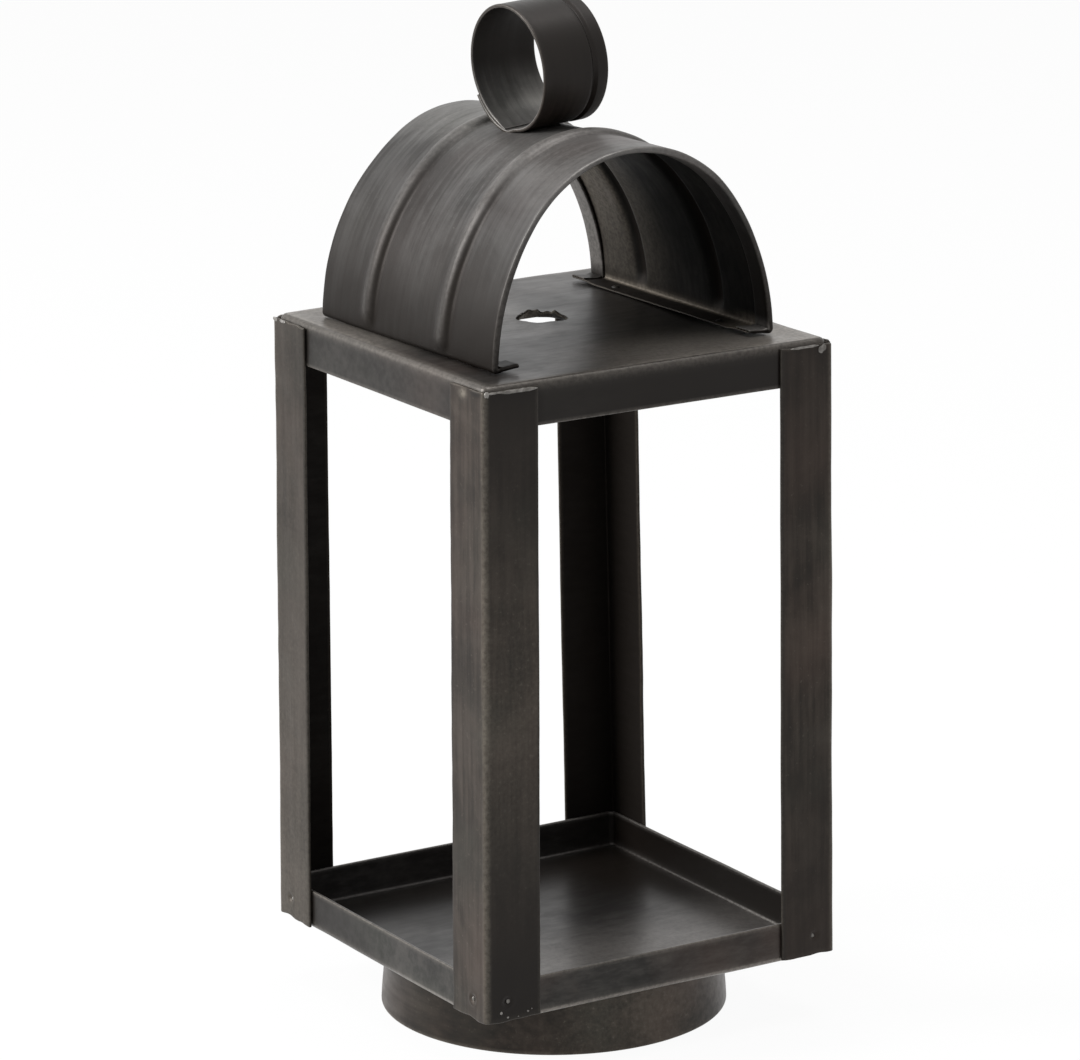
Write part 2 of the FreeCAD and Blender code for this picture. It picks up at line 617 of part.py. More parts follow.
def ring_solder():
    """Saddle of solder between the hood's crown and the ring's underside."""
    body = new_body("ring_solder")
    sketch = new_sketch(body, "XZ_Plane", "SaddleSide", "-RingBack")
    half = size("SaddleHalf")
    heart = size("CrownHeart")
    radius = size("SaddleBed")
    top = size("SaddleTop")
    spread = math.asin(half / radius)
    upright = math.pi / 2
    bed = arc(sketch, 0, heart, radius, upright - spread, upright + spread)
    low = heart + radius * math.cos(spread)
    corners = [FreeCAD.Vector(x, y, 0) for x, y in ((-half, low), (-half, top), (half, top),
                                                    (half, low))]
    sides = [sketch.addGeometry(Part.LineSegment(corners[number], corners[number + 1]))
             for number in range(len(corners) - 1)]
    join(sketch, bed, END, sides[0], START)
    join(sketch, sides[0], END, sides[1], START)
    join(sketch, sides[1], END, sides[2], START)
    join(sketch, sides[2], END, bed, START)
    place(sketch, bed, CENTRE, "0", "CrownHeart")
    bind(sketch, "SaddleBed", "Radius", bed)
    place(sketch, sides[1], START, "-SaddleHalf", "SaddleTop")
    place(sketch, sides[1], END, "SaddleHalf", "SaddleTop")
    sketch.addConstraint(Sketcher.Constraint("Vertical", sides[0]))
    sketch.addConstraint(Sketcher.Constraint("Vertical", sides[2]))
    block = extrude(body, "Pad", sketch, "SaddleBlock", "SaddleWidth", both=True)
    bore = new_sketch(body, "YZ_Plane", "SaddleBore")
    turned = FreeCAD.Rotation(FreeCAD.Vector(0, 1, 0), size("RingTurn"))
    bore.AttachmentOffset = FreeCAD.Placement(FreeCAD.Vector(), turned)
    bore.setExpression("AttachmentOffset.Rotation.Angle", "Sizes.RingTurn")
    disc(bore, "RingAside", "RingAxis", "RingRadius")
    seat = body.newObject("PartDesign::Pocket", "SaddleSeat")
    seat.Profile = bore
    seat.SideType = "Symmetric"
    seat.setExpression("Length", "2 * Sizes.SaddleLength")
    doc.recompute()
    if seat.Shape.Volume >= block.Shape.Volume:
        raise RuntimeError("the ring's seat was not cut")
    return body


def foot_solder():
    """Solder tacks inside the foot, between its wall and the tray's underside."""
    body = new_body("foot_solder")
    sketch = new_sketch(body, "XZ_Plane", "TackSection")
    polygon(sketch, (("NeckInside", "FootHeight"), ("TackInside", "FootHeight"),
                     ("TackFoot", "TackBase")))
    tack = turn_about(body, "Revolution", sketch, "Tack", "V_Axis", "TackAngle")
    repeat_round(body, tack, "Tacks")
    return body


def build():
    """Make every piece and return the bodies."""
    fill_sheet()
    pieces = [foot_ring(), base_tray(), top_pan()]
    pieces += [corner_post(*post) for post in POSTS]
    pieces += [hood(), carry_ring()]
    pieces += [bottom_welds(), hood_welds(), corner_solder(), ring_solder(), foot_solder()]
    doc.recompute()
    return pieces


def check(pieces):
    """Stop if any object has failed or any piece has no sound shape."""
    for item in doc.Objects:
        if "Invalid" in item.State or "Error" in item.State:
            raise RuntimeError("%s is %s" % (item.Label, item.State))
    for piece in pieces:
        if piece.Shape.isNull() or not piece.Shape.isValid() or not piece.Shape.Solids:
            raise RuntimeError("%s has no sound shape" % piece.Label)


def export(pieces):
    """Write each piece to its own file."""
    os.makedirs("parts", exist_ok=True)
    for piece in pieces:
        piece.Shape.exportStep("parts/%s.step" % piece.Label)
        box = piece.Shape.BoundBox
        print("%-18s solids %2d  volume %10.2f  z %7.2f to %7.2f" % (
            piece.Label, len(piece.Shape.Solids), piece.Shape.Volume, box.ZMin, box.ZMax))


made = build()
check(made)
export(made)
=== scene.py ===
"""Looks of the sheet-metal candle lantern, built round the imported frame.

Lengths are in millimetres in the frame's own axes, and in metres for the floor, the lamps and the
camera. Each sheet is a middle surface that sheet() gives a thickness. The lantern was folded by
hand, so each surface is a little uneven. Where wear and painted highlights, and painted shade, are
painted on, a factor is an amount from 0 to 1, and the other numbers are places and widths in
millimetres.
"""
import math

import bpy
import numpy as np
from mathutils import Matrix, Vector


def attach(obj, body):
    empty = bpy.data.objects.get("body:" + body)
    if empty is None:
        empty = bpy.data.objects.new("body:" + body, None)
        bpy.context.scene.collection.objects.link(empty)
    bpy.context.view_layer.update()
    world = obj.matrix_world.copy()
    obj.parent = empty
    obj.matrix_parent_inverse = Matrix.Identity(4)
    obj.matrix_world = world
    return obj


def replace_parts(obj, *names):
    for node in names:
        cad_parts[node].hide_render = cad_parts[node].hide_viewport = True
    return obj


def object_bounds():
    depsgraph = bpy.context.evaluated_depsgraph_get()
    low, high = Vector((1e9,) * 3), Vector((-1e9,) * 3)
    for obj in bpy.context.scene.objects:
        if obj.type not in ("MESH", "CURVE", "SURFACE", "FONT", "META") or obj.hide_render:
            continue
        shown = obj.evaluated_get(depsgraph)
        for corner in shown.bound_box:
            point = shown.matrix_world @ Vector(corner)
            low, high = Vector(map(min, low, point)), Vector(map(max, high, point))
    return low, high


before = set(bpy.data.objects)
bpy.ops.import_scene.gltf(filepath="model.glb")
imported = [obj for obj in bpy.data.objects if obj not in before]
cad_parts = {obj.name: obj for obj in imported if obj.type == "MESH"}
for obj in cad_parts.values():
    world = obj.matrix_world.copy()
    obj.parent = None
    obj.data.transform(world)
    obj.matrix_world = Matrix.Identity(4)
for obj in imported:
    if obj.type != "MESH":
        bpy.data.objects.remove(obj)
cad_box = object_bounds()

MM = 0.001
BODY = "root"
CREASE = math.radians(38.0)

# Sizes of the sheet, and of what its free edges show
SHEET = 1.2
THIN_SHEET = 1.1
EDGE_LEFT = 0.3                               # share of the thickness that the rounding leaves
EDGE_WORN_AND_LIT = 0.55                              # how far in from the edge the wear and painted highlight reach
BACK_GRAIN = 40.0                             # keeps the two skins' patterns apart

# Sizes of the posts
FRAME_HALF = 70.0
POST_BASE = 23.8
POST_LENGTH = 214.5
FLANGE = 21.5
BEND = 1.6
LEG = FLANGE - BEND                           # the straight part of each flange
FOLD = BEND - SHEET / 2                       # the fold's radius at the sheet's middle
POST_WIDTH = 2 * LEG + FOLD * math.pi / 2     # the angle's section, unrolled
PLUG_RISE = 7.0                               # height of the plug welds above the post's foot
PLUG_INSET = 9.0                              # their distance from the corner
PIT_INSET = 6.8                               # the craters' distance from the end of the fold

# How far the hand-built frame leans in at the top, as (x, y) at each corner
LEAN = {(-1, -1): (1.7, 1.0), (-1, 1): (0.0, -3.4), (1, -1): (-2.4, 0.0), (1, 1): (-4.6, 0.0)}

# Sizes of the tray, the pan and the foot
BOX_HALF = 68.7
BOX_BEND = 1.6
BOX_CORNER = 0.9
BOX_FLAT = BOX_HALF - SHEET / 2 - BOX_BEND    # half the width that stays flat
PLATE_REACH = 62.0
TRAY_BASE = 23.0
TRAY_WALL = 14.0
PAN_TOP = 239.9
PAN_SKIRT = 15.2
VENT = np.array([3.5, 11.5])
VENT_RADIUS = 7.4
FOOT_HEIGHT = 23.0
FOOT_HALF = 60.1
NECK_HALF = 58.9

# Sizes of the hood. An arch is its half width, rise, side radius and shift across.
HOOD_DEPTH = 108.0
HOOD_SHEET = 1.0
HOOD_BEND = 1.3
FRONT_ARCH = (56.4, 68.9, 81.7, 0.4)
BACK_ARCH = (57.6, 68.3, 73.2, -1.8)
HEM = 8.0
HEM_FOLD = 0.62
FOOT_FLAT = 8.5                               # the foot's flat, past its bend
FOOT_SPRING = math.radians(5.0)
BEAD_PLACE = 23.0
BEAD_PLACES = (-4.4, -3.2, -1.9, -0.4, 1.2, 3.0, 4.8, 6.4)
BEAD_RISES = (0.0, 0.35, 1.3, 1.8, 1.6, 0.9, 0.25, 0.0)
SEAT = (-3.0, 6.4)                            # middle of the dent under the ring

# Sizes of the ring, with its turn and tilt in degrees
RING_RADIUS = 21.5
RING_HALF = 13.4
RING_MIDDLE = (-0.5, 3.9, 328.7)
RING_TURN = 3.8
RING_TILT = 3.4
RING_START = 9.0
RING_STOP = 418.0

# Camera: heading, swing, tilt and roll in degrees, lens and sensor in mm
CAMERA_HEADING = -31.846
CAMERA_DISTANCE = 1.79877
CAMERA_HEIGHT = 0.65
CAMERA_SWING = 0.123
CAMERA_TILT = -15.008
CAMERA_ROLL = -0.364
CAMERA_LENS = 182.309
CAMERA_SENSOR = 36.0


def unit(vectors):
    """Vectors scaled to length one."""
    return vectors / np.maximum(np.linalg.norm(vectors, axis=-1, keepdims=True), 1e-12)


def smooth(x, low, high):
    """0 below low, 1 above high, and an S curve between."""
    t = np.clip((np.asarray(x, float) - low) / (high - low), 0.0, 1.0)
    return t * t * (3.0 - 2.0 * t)


def hill(x, middle, width):
    """A bell curve of height one about the middle."""
    return np.exp(-((np.asarray(x, float) - middle) / width) ** 2)


def through(x, places, values):
    """A smooth curve through given values: cubic pieces, each with the slopes that the
    neighbouring values give at its ends."""
    places, values = np.asarray(places, float), np.asarray(values, float)
    slopes = np.gradient(values, places)
    x = np.clip(np.asarray(x, float), places[0], places[-1])
    i = np.clip(np.searchsorted(places, x, side="right") - 1, 0, len(places) - 2)
    wide = places[i + 1] - places[i]
    t = (x - places[i]) / wide
    return ((2 * t ** 3 - 3 * t ** 2 + 1) * values[i] + (t ** 3 - 2 * t ** 2 + t) * wide * slopes[i]
            + (3 * t ** 2 - 2 * t ** 3) * values[i + 1] + (t ** 3 - t ** 2) * wide * slopes[i + 1])


def about_z(degrees):
    """The turn about the upright axis, as a matrix that stands after the points."""
    c, s = math.cos(math.radians(degrees)), math.sin(math.radians(degrees))
    return np.array([[c, s, 0.0], [-s, c, 0.0], [0.0, 0.0, 1.0]])


def track(x, y, z):
    """Points of a line from its three coordinates, of which some may be plain numbers."""
    return np.stack(np.broadcast_arrays(x, y, z), -1)


def leaned(points):
    """The frame's lean: each point moves by the mean of the corners' leans, weighted by how
    near each corner is, times its share of the posts' height."""
    across, deep = points[..., 0] / FRAME_HALF, points[..., 1] / FRAME_HALF
    share = np.clip((points[..., 2] - POST_BASE) / POST_LENGTH, 0.0, 1.0)
    moved = points.copy()
    for (side_x, side_y), (lean_x, lean_y) in LEAN.items():
        weight = 0.25 * (1 + side_x * across) * (1 + side_y * deep) * share
        moved[..., 0] += weight * lean_x
        moved[..., 1] += weight * lean_y
    return moved


def ripple(points, length, seed):
    """Smooth unevenness, mostly from -1 to 1: sines that run in random directions, with
    wavelengths between 0.7 and 1.6 times the given length, summed and divided by the root of
    their number."""
    rng = np.random.default_rng(seed)
    total = np.zeros(points.shape[:-1])
    waves = 9
    for _ in range(waves):
        run = unit(rng.normal(size=3)) * 2.0 * np.pi / (length * rng.uniform(0.7, 1.6))
        total += np.sin(points @ run + rng.uniform(0.0, 2.0 * np.pi))
    return total / math.sqrt(waves)


def marks(start, stop, step, fine=()):
    """Places along a line: even steps, closer ones near both ends for the rounded edge, and
    the fine stretches given as (middle, reach, step). Places under 0.05 mm apart are one."""
    near_end = np.array([0.0, 0.08, 0.2, 0.38, 0.6])
    places = [np.linspace(start, stop, int((stop - start) / step) + 1), start + near_end,
              stop - near_end]
    for middle, reach, fine_step in fine:
        places.append(np.arange(middle - reach, middle + reach + fine_step / 2, fine_step))
    places = np.unique(np.round(np.concatenate(places), 4))
    places = places[(places >= start) & (places <= stop)]
    return places[np.concatenate([[True], np.diff(places) > 0.05])]


def directions(grid, axis, loop):
    """Mean of the unit steps before and after each point, along one axis of the grid."""
    step = unit(np.roll(grid, -1, axis) - grid)
    before = np.roll(step, 1, axis)
    if not loop:
        first = [slice(None)] * 3
        last = [slice(None)] * 3
        inner = [slice(None)] * 3
        first[axis], last[axis], inner[axis] = 0, -1, -2
        step[tuple(last)] = step[tuple(inner)]
        before[tuple(first)] = step[tuple(first)]
    return unit(step + before)


def in_box(points):
    """Points from millimetres to metres. The few that the unevenness pushes out of the frame's
    box are moved back onto it."""
    return np.clip(points * MM, *cad_box)


def make_object(name, points, faces, materials, slot, backs=None, **painted):
    """A smooth-shaded object from points in metres and faces, riding on the body. backs marks
    the faces that take the second material, and painted holds what the materials read at each
    point: wear with painted highlights and painted reflections, and painted shade, each from 0
    to 1, and grain, the place that the streaks follow."""
    mesh = bpy.data.meshes.new(name)
    mesh.from_pydata(points.tolist(), [], [face.tolist() for face in faces])
    mesh.update()
    mesh.shade_smooth()
    mesh.set_sharp_from_angle(angle=CREASE)
    for kind, values in painted.items():
        way, field = ("FLOAT_VECTOR", "vector") if values.ndim == 2 else ("FLOAT", "value")
        layer = mesh.attributes.new(kind, way, "POINT")
        layer.data.foreach_set(field, values.astype(np.float32).ravel())
    if backs is not None:
        mesh.polygons.foreach_set("material_index", backs)
    piece = bpy.data.objects.new(name, mesh)
    bpy.context.scene.collection.objects.link(piece)
    for material in materials:
        mesh.materials.append(material)
    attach(piece, BODY)
    return piece


def sheet(name, middle, thick, materials, rows, columns=None, pole=False, slot="blackened_sheet",
          uneven=(), outer_shift=None, rim=0.5, wear=0.0, soot=0.0, inner_wear=None,
          inner_soot=None):
    """A closed sheet: the two skins lie half the thickness to either side of the middle
    surface, along the cross product of its two directions. Towards a free edge the thickness
    falls along a quarter circle, which rounds the edge.

    rows and columns are the places of the grid's lines in mm, from which the distance to the
    free edges is known. A sheet without columns closes on itself, and a pole closes its first
    row with a fan. The first material is on the outer skin, to which the cross product points,
    and the second on the inner skin. uneven lists (height, length, seed) of the unevenness.
    rim is the wear and painted highlight along the free edges, and the inner skin has the outer
    one's wear, painted highlights and painted shade where it is given none of its own."""
    loop = columns is None
    normal = unit(np.cross(directions(middle, 0, False), directions(middle, 1, loop)))
    for amount, length, seed in uneven:
        middle = middle + normal * (amount * ripple(middle, length, seed))[..., None]
    count, across = middle.shape[:2]
    from_end = rows[-1] - rows
    if not pole:
        from_end = np.minimum(np.abs(rows - rows[0]), np.abs(from_end))
    reach = np.repeat(np.abs(from_end)[:, None], across, axis=1)
    if not loop:
        from_side = np.minimum(np.abs(columns - columns[0]), np.abs(columns - columns[-1]))
        reach = np.minimum(reach, from_side[None, :])
    round_in = np.clip(reach / (thick / 2), 0.0, 1.0)
    half = (thick / 2) * (EDGE_LEFT + (1.0 - EDGE_LEFT) * np.sqrt(1.0 - (1.0 - round_in) ** 2))
    outer = middle + normal * half[..., None]
    inner = middle - normal * half[..., None]
    if outer_shift is not None:
        outer = outer + normal * outer_shift[..., None]
    outer, inner = leaned(outer), leaned(inner)

    # Free edges carry wear and a painted highlight.
    edge_wear = rim * hill(reach, 0.0, EDGE_WORN_AND_LIT)
    outer_wear = np.maximum(edge_wear, wear)
    inner_wear = outer_wear if inner_wear is None else np.maximum(edge_wear, inner_wear)
    # Painted shade for both skins, and wear with painted highlights above.
    outer_soot = soot + np.zeros_like(reach)
    inner_soot = outer_soot if inner_soot is None else inner_soot + np.zeros_like(reach)
    worn_and_lit = np.concatenate([outer_wear.ravel(), inner_wear.ravel()])
    sooty = np.concatenate([outer_soot.ravel(), inner_soot.ravel()])

    total = count * across
    grid = np.arange(total).reshape(count, across)
    if loop:
        grid = np.concatenate([grid, grid[:, :1]], axis=1)
    skin = np.stack([grid[:-1, :-1], grid[1:, :-1], grid[1:, 1:], grid[:-1, 1:]], -1).reshape(-1, 4)
    faces = [*skin, *(skin + total)[:, ::-1]]
    points = np.concatenate([outer.reshape(-1, 3), inner.reshape(-1, 3)])

    def edge(start, stop):
        """The strip of faces between the two skins, from outer points start to stop."""
        return [*np.stack([start, stop, stop + total, start + total], -1)]

    first, last, left, right = grid[0], grid[-1], grid[:, 0], grid[:, -1]
    back_fan, fan = 0, 0
    if pole:
        tips = np.stack([outer[0].mean(axis=0), inner[0].mean(axis=0)])
        points = np.concatenate([points, tips])
        worn_and_lit = np.concatenate([worn_and_lit, [0.0, 0.0]])
        sooty = np.concatenate([sooty, sooty[:1], sooty[:1]])
        fan = len(first) - 1
        hub = np.full(fan, 2 * total)
        faces += [*np.stack([hub, first[:-1], first[1:]], -1)]
        back_fan = len(faces)
        faces += [*np.stack([hub + 1, first[1:] + total, first[:-1] + total], -1)]
    else:
        faces += edge(first[:-1], first[1:])
    faces += edge(last[1:], last[:-1])
    if not loop:
        faces += edge(left[1:], left[:-1]) + edge(right[:-1], right[1:])
    backs = np.zeros(len(faces), np.int32)
    backs[len(skin):2 * len(skin)] = 1
    backs[back_fan:back_fan + fan] = 1

    points = in_box(points)
    grain = points
    if not loop:
        flat = np.zeros((2, count, across, 3))      # the two skins of the unrolled sheet
        flat[..., 0], flat[..., 1] = rows[:, None], columns[None, :]
        flat[1, ..., 2] = BACK_GRAIN
        grain = flat.reshape(-1, 3) * MM
    return make_object(name, points, faces, materials, slot, backs, wear=np.clip(worn_and_lit, 0.0, 1.0),
                       soot=np.clip(sooty, 0.0, 1.0), grain=grain)


def bead_run(line, radii, seed=0, lump=0.25, squash=None):
    """A run of solder: rings of the given radii about a line, each a little lumpy, closed at
    both ends by a point. squash is a direction along which each ring is flattened by half."""
    along = directions(line[None, :, :].repeat(2, 0), 1, False)[0]
    side = unit(np.cross(along, np.array([0.0, 0.0, 1.0]) + 1e-3))
    rise = np.cross(side, along)
    sides = 24
    turns = np.linspace(0.0, 2.0 * np.pi, sides + 1)[:-1][None, :, None]
    ring = side[:, None] * np.cos(turns) + rise[:, None] * np.sin(turns)
    body = line[:, None] + ring * radii[:, None, None]
    swell = 1.0 + lump * ripple(body, 3.0, seed) + 0.5 * lump * ripple(body, 1.3, seed + 1)
    body = line[:, None] + ring * (radii[:, None] * swell)[..., None]
    if squash is not None:
        flat = unit(np.asarray(squash, float))
        depth = (body - line[:, None]) @ flat
        body = body - (0.5 * depth)[..., None] * flat
    total = len(line) * sides
    grid = np.arange(total).reshape(len(line), sides)
    grid = np.concatenate([grid, grid[:, :1]], axis=1)
    faces = [*np.stack([grid[:-1, :-1], grid[:-1, 1:], grid[1:, 1:], grid[1:, :-1]],
                       -1).reshape(-1, 4)]
    points = np.concatenate([body.reshape(-1, 3), line[:1], line[-1:]])
    hub = np.full(sides, total)
    faces += [*np.stack([hub, grid[0, 1:], grid[0, :-1]], -1)]
    faces += [*np.stack([hub + 1, grid[-1, :-1], grid[-1, 1:]], -1)]
    return points, faces


def joined(name, runs, material):
    """Several closed runs of solder as one object, leaning with the frame."""
    points, faces, count = [], [], 0
    for run_points, run_faces in runs:
        points.append(run_points)
        faces += [face + count for face in run_faces]
        count += len(run_points)
    points = in_box(leaned(np.concatenate(points)))
    return make_object(name, points, faces, (material,), "solder")


# Materials


def linear(text):
    """An sRGB hex colour as linear red, green, blue and alpha."""
    values = np.array([int(text[i:i + 2], 16) for i in (1, 3, 5)]) / 255.0
    values = np.where(values <= 0.04045, values / 12.92, ((values + 0.055) / 1.055) ** 2.4)
    return (*values.tolist(), 1.0)


def node(tree, kind, inputs=(), **settings):
    """Add one node, set its own properties, then fill its inputs: a socket is linked and
    anything else is the input's value."""
    made = tree.nodes.new("ShaderNode" + kind)
    for key, value in settings.items():
        setattr(made, key, value)
    for key, value in dict(inputs).items():
        if isinstance(value, bpy.types.NodeSocket):
            tree.links.new(value, made.inputs[key])
        else:
            made.inputs[key].default_value = value
    return made


def emptied(owner):
    """The node tree of a new material or world, with nothing in it."""
    owner.use_nodes = True
    owner.node_tree.nodes.clear()
    return owner.node_tree


# Sizes of the patterns. Brush marks and specks on real sheet are finer than the picture shows,
# so they are drawn coarser, at the size of a few pixels.
CLOUD_SIZE = 32.0
TINT_SIZE = 60.0
BRUSH_SIZE = 2.8
SPECK_SIZE = 1.4
LUMP_SIZE = 2.2
# The near-black of painted shade
PAINTED_SHADE_COLOUR = "#191512"


def blackened_steel(name, dark, mid, pale, bare, rough, stretch, metallic, specular,
                    tints=("#54433b", "#454840"), brushed=0.16, specks=0.22):
    """Sheet steel, blackened with a chemical bath and waxed: a dark satin metal whose oxide
    lets little of the bare steel's shine through, with pale clouds where it was rubbed back,
    streaks along the rolling direction and brown or green tints of the oxide. Where wear and
    painted highlights and reflections are painted on, the bare steel shows, broken up by the
    specks, and where painted shade is painted on, a near-black covers the colour. stretch
    gives the streaks' scale along the three directions of the grain, small where they run."""
    material = bpy.data.materials.new(name)
    tree = emptied(material)
    place = node(tree, "TexCoord").outputs["Object"]
    along = node(tree, "Attribute", attribute_name="grain").outputs["Vector"]
    drawn = node(tree, "Mapping", {"Vector": along, "Scale": stretch}).outputs[0]
    clouds = node(tree, "TexNoise", {"Vector": place, "Scale": 1000 / CLOUD_SIZE, "Detail": 5.0,
                                     "Roughness": 0.62, "Distortion": 0.5}).outputs[0]
    tint = node(tree, "TexNoise", {"Vector": place, "Scale": 1000 / TINT_SIZE,
                                   "Detail": 3.0}).outputs[0]
    streaks = node(tree, "TexNoise", {"Vector": drawn, "Scale": 1000 / BRUSH_SIZE, "Detail": 4.0,
                                      "Roughness": 0.6}).outputs[0]
    speckle = node(tree, "TexNoise", {"Vector": place, "Scale": 1000 / SPECK_SIZE, "Detail": 3.0,
                                      "Roughness": 0.65}).outputs[0]
    drift = node(tree, "Math", {0: clouds, 1: 1.4}, operation="MULTIPLY").outputs[0]
    shade = node(tree, "Math", {0: drift, 1: streaks}, operation="ADD").outputs[0]
    colour = linear(dark)
    # Each layer covers the ones before it by up to its share, as its pattern goes from low to high.
    for pattern, low, high, share, over in ((shade, 0.85, 1.2, 1.0, mid),
                                            (shade, 1.15, 1.55, 1.0, pale),
                                            (tint, 0.5, 0.66, 0.3, tints[0]),
                                            (tint, 0.46, 0.34, 0.22, tints[1]),
                                            (speckle, 0.62, 0.78, specks, bare)):
        cover = node(tree, "MapRange", {"Value": pattern, "From Min": low, "From Max": high,
                                        "To Max": share}).outputs[0]
        colour = node(tree, "Mix", {0: cover, 6: colour, 7: linear(over)},
                      data_type="RGBA").outputs[2]
    # Wear and painted highlights show the bare steel, broken up by the specks; painted shade lays a
    # near-black over the colour first.
    worn_and_lit = node(tree, "Attribute", attribute_name="wear").outputs["Fac"]
    broken = node(tree, "MapRange", {"Value": speckle, "From Min": 0.34, "From Max": 0.6,
                                     "To Min": 0.5}).outputs[0]
    worn_and_lit = node(tree, "Math", {0: worn_and_lit, 1: broken}, operation="MULTIPLY").outputs[0]
    sooty = node(tree, "Attribute", attribute_name="soot").outputs["Fac"]
    for cover, over in ((sooty, PAINTED_SHADE_COLOUR), (worn_and_lit, bare)):
        colour = node(tree, "Mix", {0: cover, 6: colour, 7: linear(over)},
                      data_type="RGBA").outputs[2]
    satin = node(tree, "MapRange", {"Value": shade, "From Min": 0.9, "From Max": 1.5,
                                    "To Min": rough[1], "To Max": rough[0]}).outputs[0]
    height = node(tree, "Math", {0: streaks, 1: speckle}, operation="ADD").outputs[0]
    bump = node(tree, "Bump", {"Height": height, "Strength": brushed, "Distance": 0.0001})
    shader = node(tree, "BsdfPrincipled", {
        "Base Color": colour, "Metallic": metallic, "Roughness": satin,
        "Specular IOR Level": specular, "Normal": bump.outputs[0]})
    node(tree, "OutputMaterial", {"Surface": shader.outputs[0]})
    return material


def dull_solder(name, dark, pale):
    """Tin-lead solder and weld metal, blackened with the rest and rubbed brighter where it
    stands proud: a lumpy satin grey."""
    material = bpy.data.materials.new(name)
    tree = emptied(material)
    place = node(tree, "TexCoord").outputs["Object"]
    lumps = node(tree, "TexNoise", {"Vector": place, "Scale": 1000 / LUMP_SIZE,
                                    "Detail": 4.0}).outputs[0]
    proud = node(tree, "MapRange", {"Value": lumps, "From Min": 0.4, "From Max": 0.66}).outputs[0]
    colour = node(tree, "Mix", {0: proud, 6: linear(dark), 7: linear(pale)},
                  data_type="RGBA").outputs[2]
    bump = node(tree, "Bump", {"Height": lumps, "Strength": 0.4, "Distance": 0.0002})
    shader = node(tree, "BsdfPrincipled", {
        "Base Color": colour, "Metallic": 0.5, "Roughness": 0.42, "Normal": bump.outputs[0]})
    node(tree, "OutputMaterial", {"Surface": shader.outputs[0]})
    return material


# Posts and the foot's outside: little rubbed, brown-black, with streaks that run up the post
STEEL_UPRIGHT = blackened_steel(
    "blackened_steel_posts", "#1c1814", "#322b25", "#473f38", "#8a8378", rough=(0.36, 0.5),
    stretch=(1.0, 0.05, 1.0), metallic=0.45, specular=0.28)
# The pan's outside and the tray's underside: waxed smooth, a neutral black with a soft shine
STEEL_FLAT = blackened_steel(
    "blackened_steel_trays", "#181614", "#2c2a28", "#403d3a", "#857f78", rough=(0.3, 0.4),
    stretch=(0.3, 1.0, 1.0), metallic=0.4, specular=0.28, brushed=0.025, specks=0.05)
# The hood: rubbed back most, a cloudy grey with streaks over the arch
STEEL_HOOD = blackened_steel(
    "rubbed_steel_hood", "#2d2c2b", "#454443", "#61605f", "#8e8a86", rough=(0.38, 0.48),
    stretch=(0.05, 1.0, 1.0), metallic=0.4, specular=0.12, tints=("#3f3432", "#474a43"))
# The ring's outside: brown-black, with streaks round the strip
STEEL_STRIP = blackened_steel(
    "blackened_steel_strip", "#1c1815", "#2e2824", "#403933", "#6c665f", rough=(0.34, 0.5),
    stretch=(0.08, 1.0, 1.0), metallic=0.45, specular=0.3)
# The ring's inside: a pale satin grey, partly rubbed by the carrying hand and partly a painted
# reflection of the bright surroundings
STEEL_RUBBED_AND_LIT = blackened_steel(
    "rubbed_and_lit_steel_ring_inside", "#403e3c", "#545250", "#6a6764", "#8e8a86", rough=(0.38, 0.5),
    stretch=(0.08, 1.0, 1.0), metallic=0.38, specular=0.16, tints=("#4a423f", "#474a43"))
# The tray's bed: worn smooth where the candle stands, so it shines softly
STEEL_BED = blackened_steel(
    "blackened_steel_tray_bed", "#1d1b1a", "#32302f", "#4b4947", "#7a7672", rough=(0.28, 0.36),
    stretch=(0.3, 1.0, 1.0), metallic=0.4, specular=0.3, tints=("#2a2320", "#26282a"),
    brushed=0.03, specks=0.05)
# The other inner skins were hardly rubbed back: their oxide is matt, and nearly black partly from
# soot and partly as painted shade of the lantern's inside
STEEL_INSIDE = blackened_steel(
    "sooty_steel_inside", "#0b0a0a", "#151413", "#23211f", "#948b7f", rough=(0.48, 0.62),
    stretch=(0.3, 1.0, 1.0), metallic=0.3, specular=0.06, tints=("#1a1614", "#171816"),
    specks=0.04)
# Solder that stands in the open, and solder darkened as painted shade, under the ring and on the
# hood's feet
SOLDER = dull_solder("dull_tin_lead_solder", "#5e5b57", "#8c8985")
SHADED_SOLDER = dull_solder("sooty_tin_lead_solder", "#161413", "#3a3734")


# Corner posts


def post_section(places):
    """Middle line of the angle's section, by length along it: a straight leg, the quarter arc
    of the fold and the other leg."""
    turn = np.clip((places - LEG) / FOLD, 0.0, math.pi / 2)
    before = np.minimum(places, LEG)
    after = np.maximum(places - LEG - FOLD * math.pi / 2, 0.0)
    x = BEND - FOLD * np.cos(turn) + after
    y = FLANGE - before - FOLD * np.sin(turn)
    return np.stack([x, y], -1)


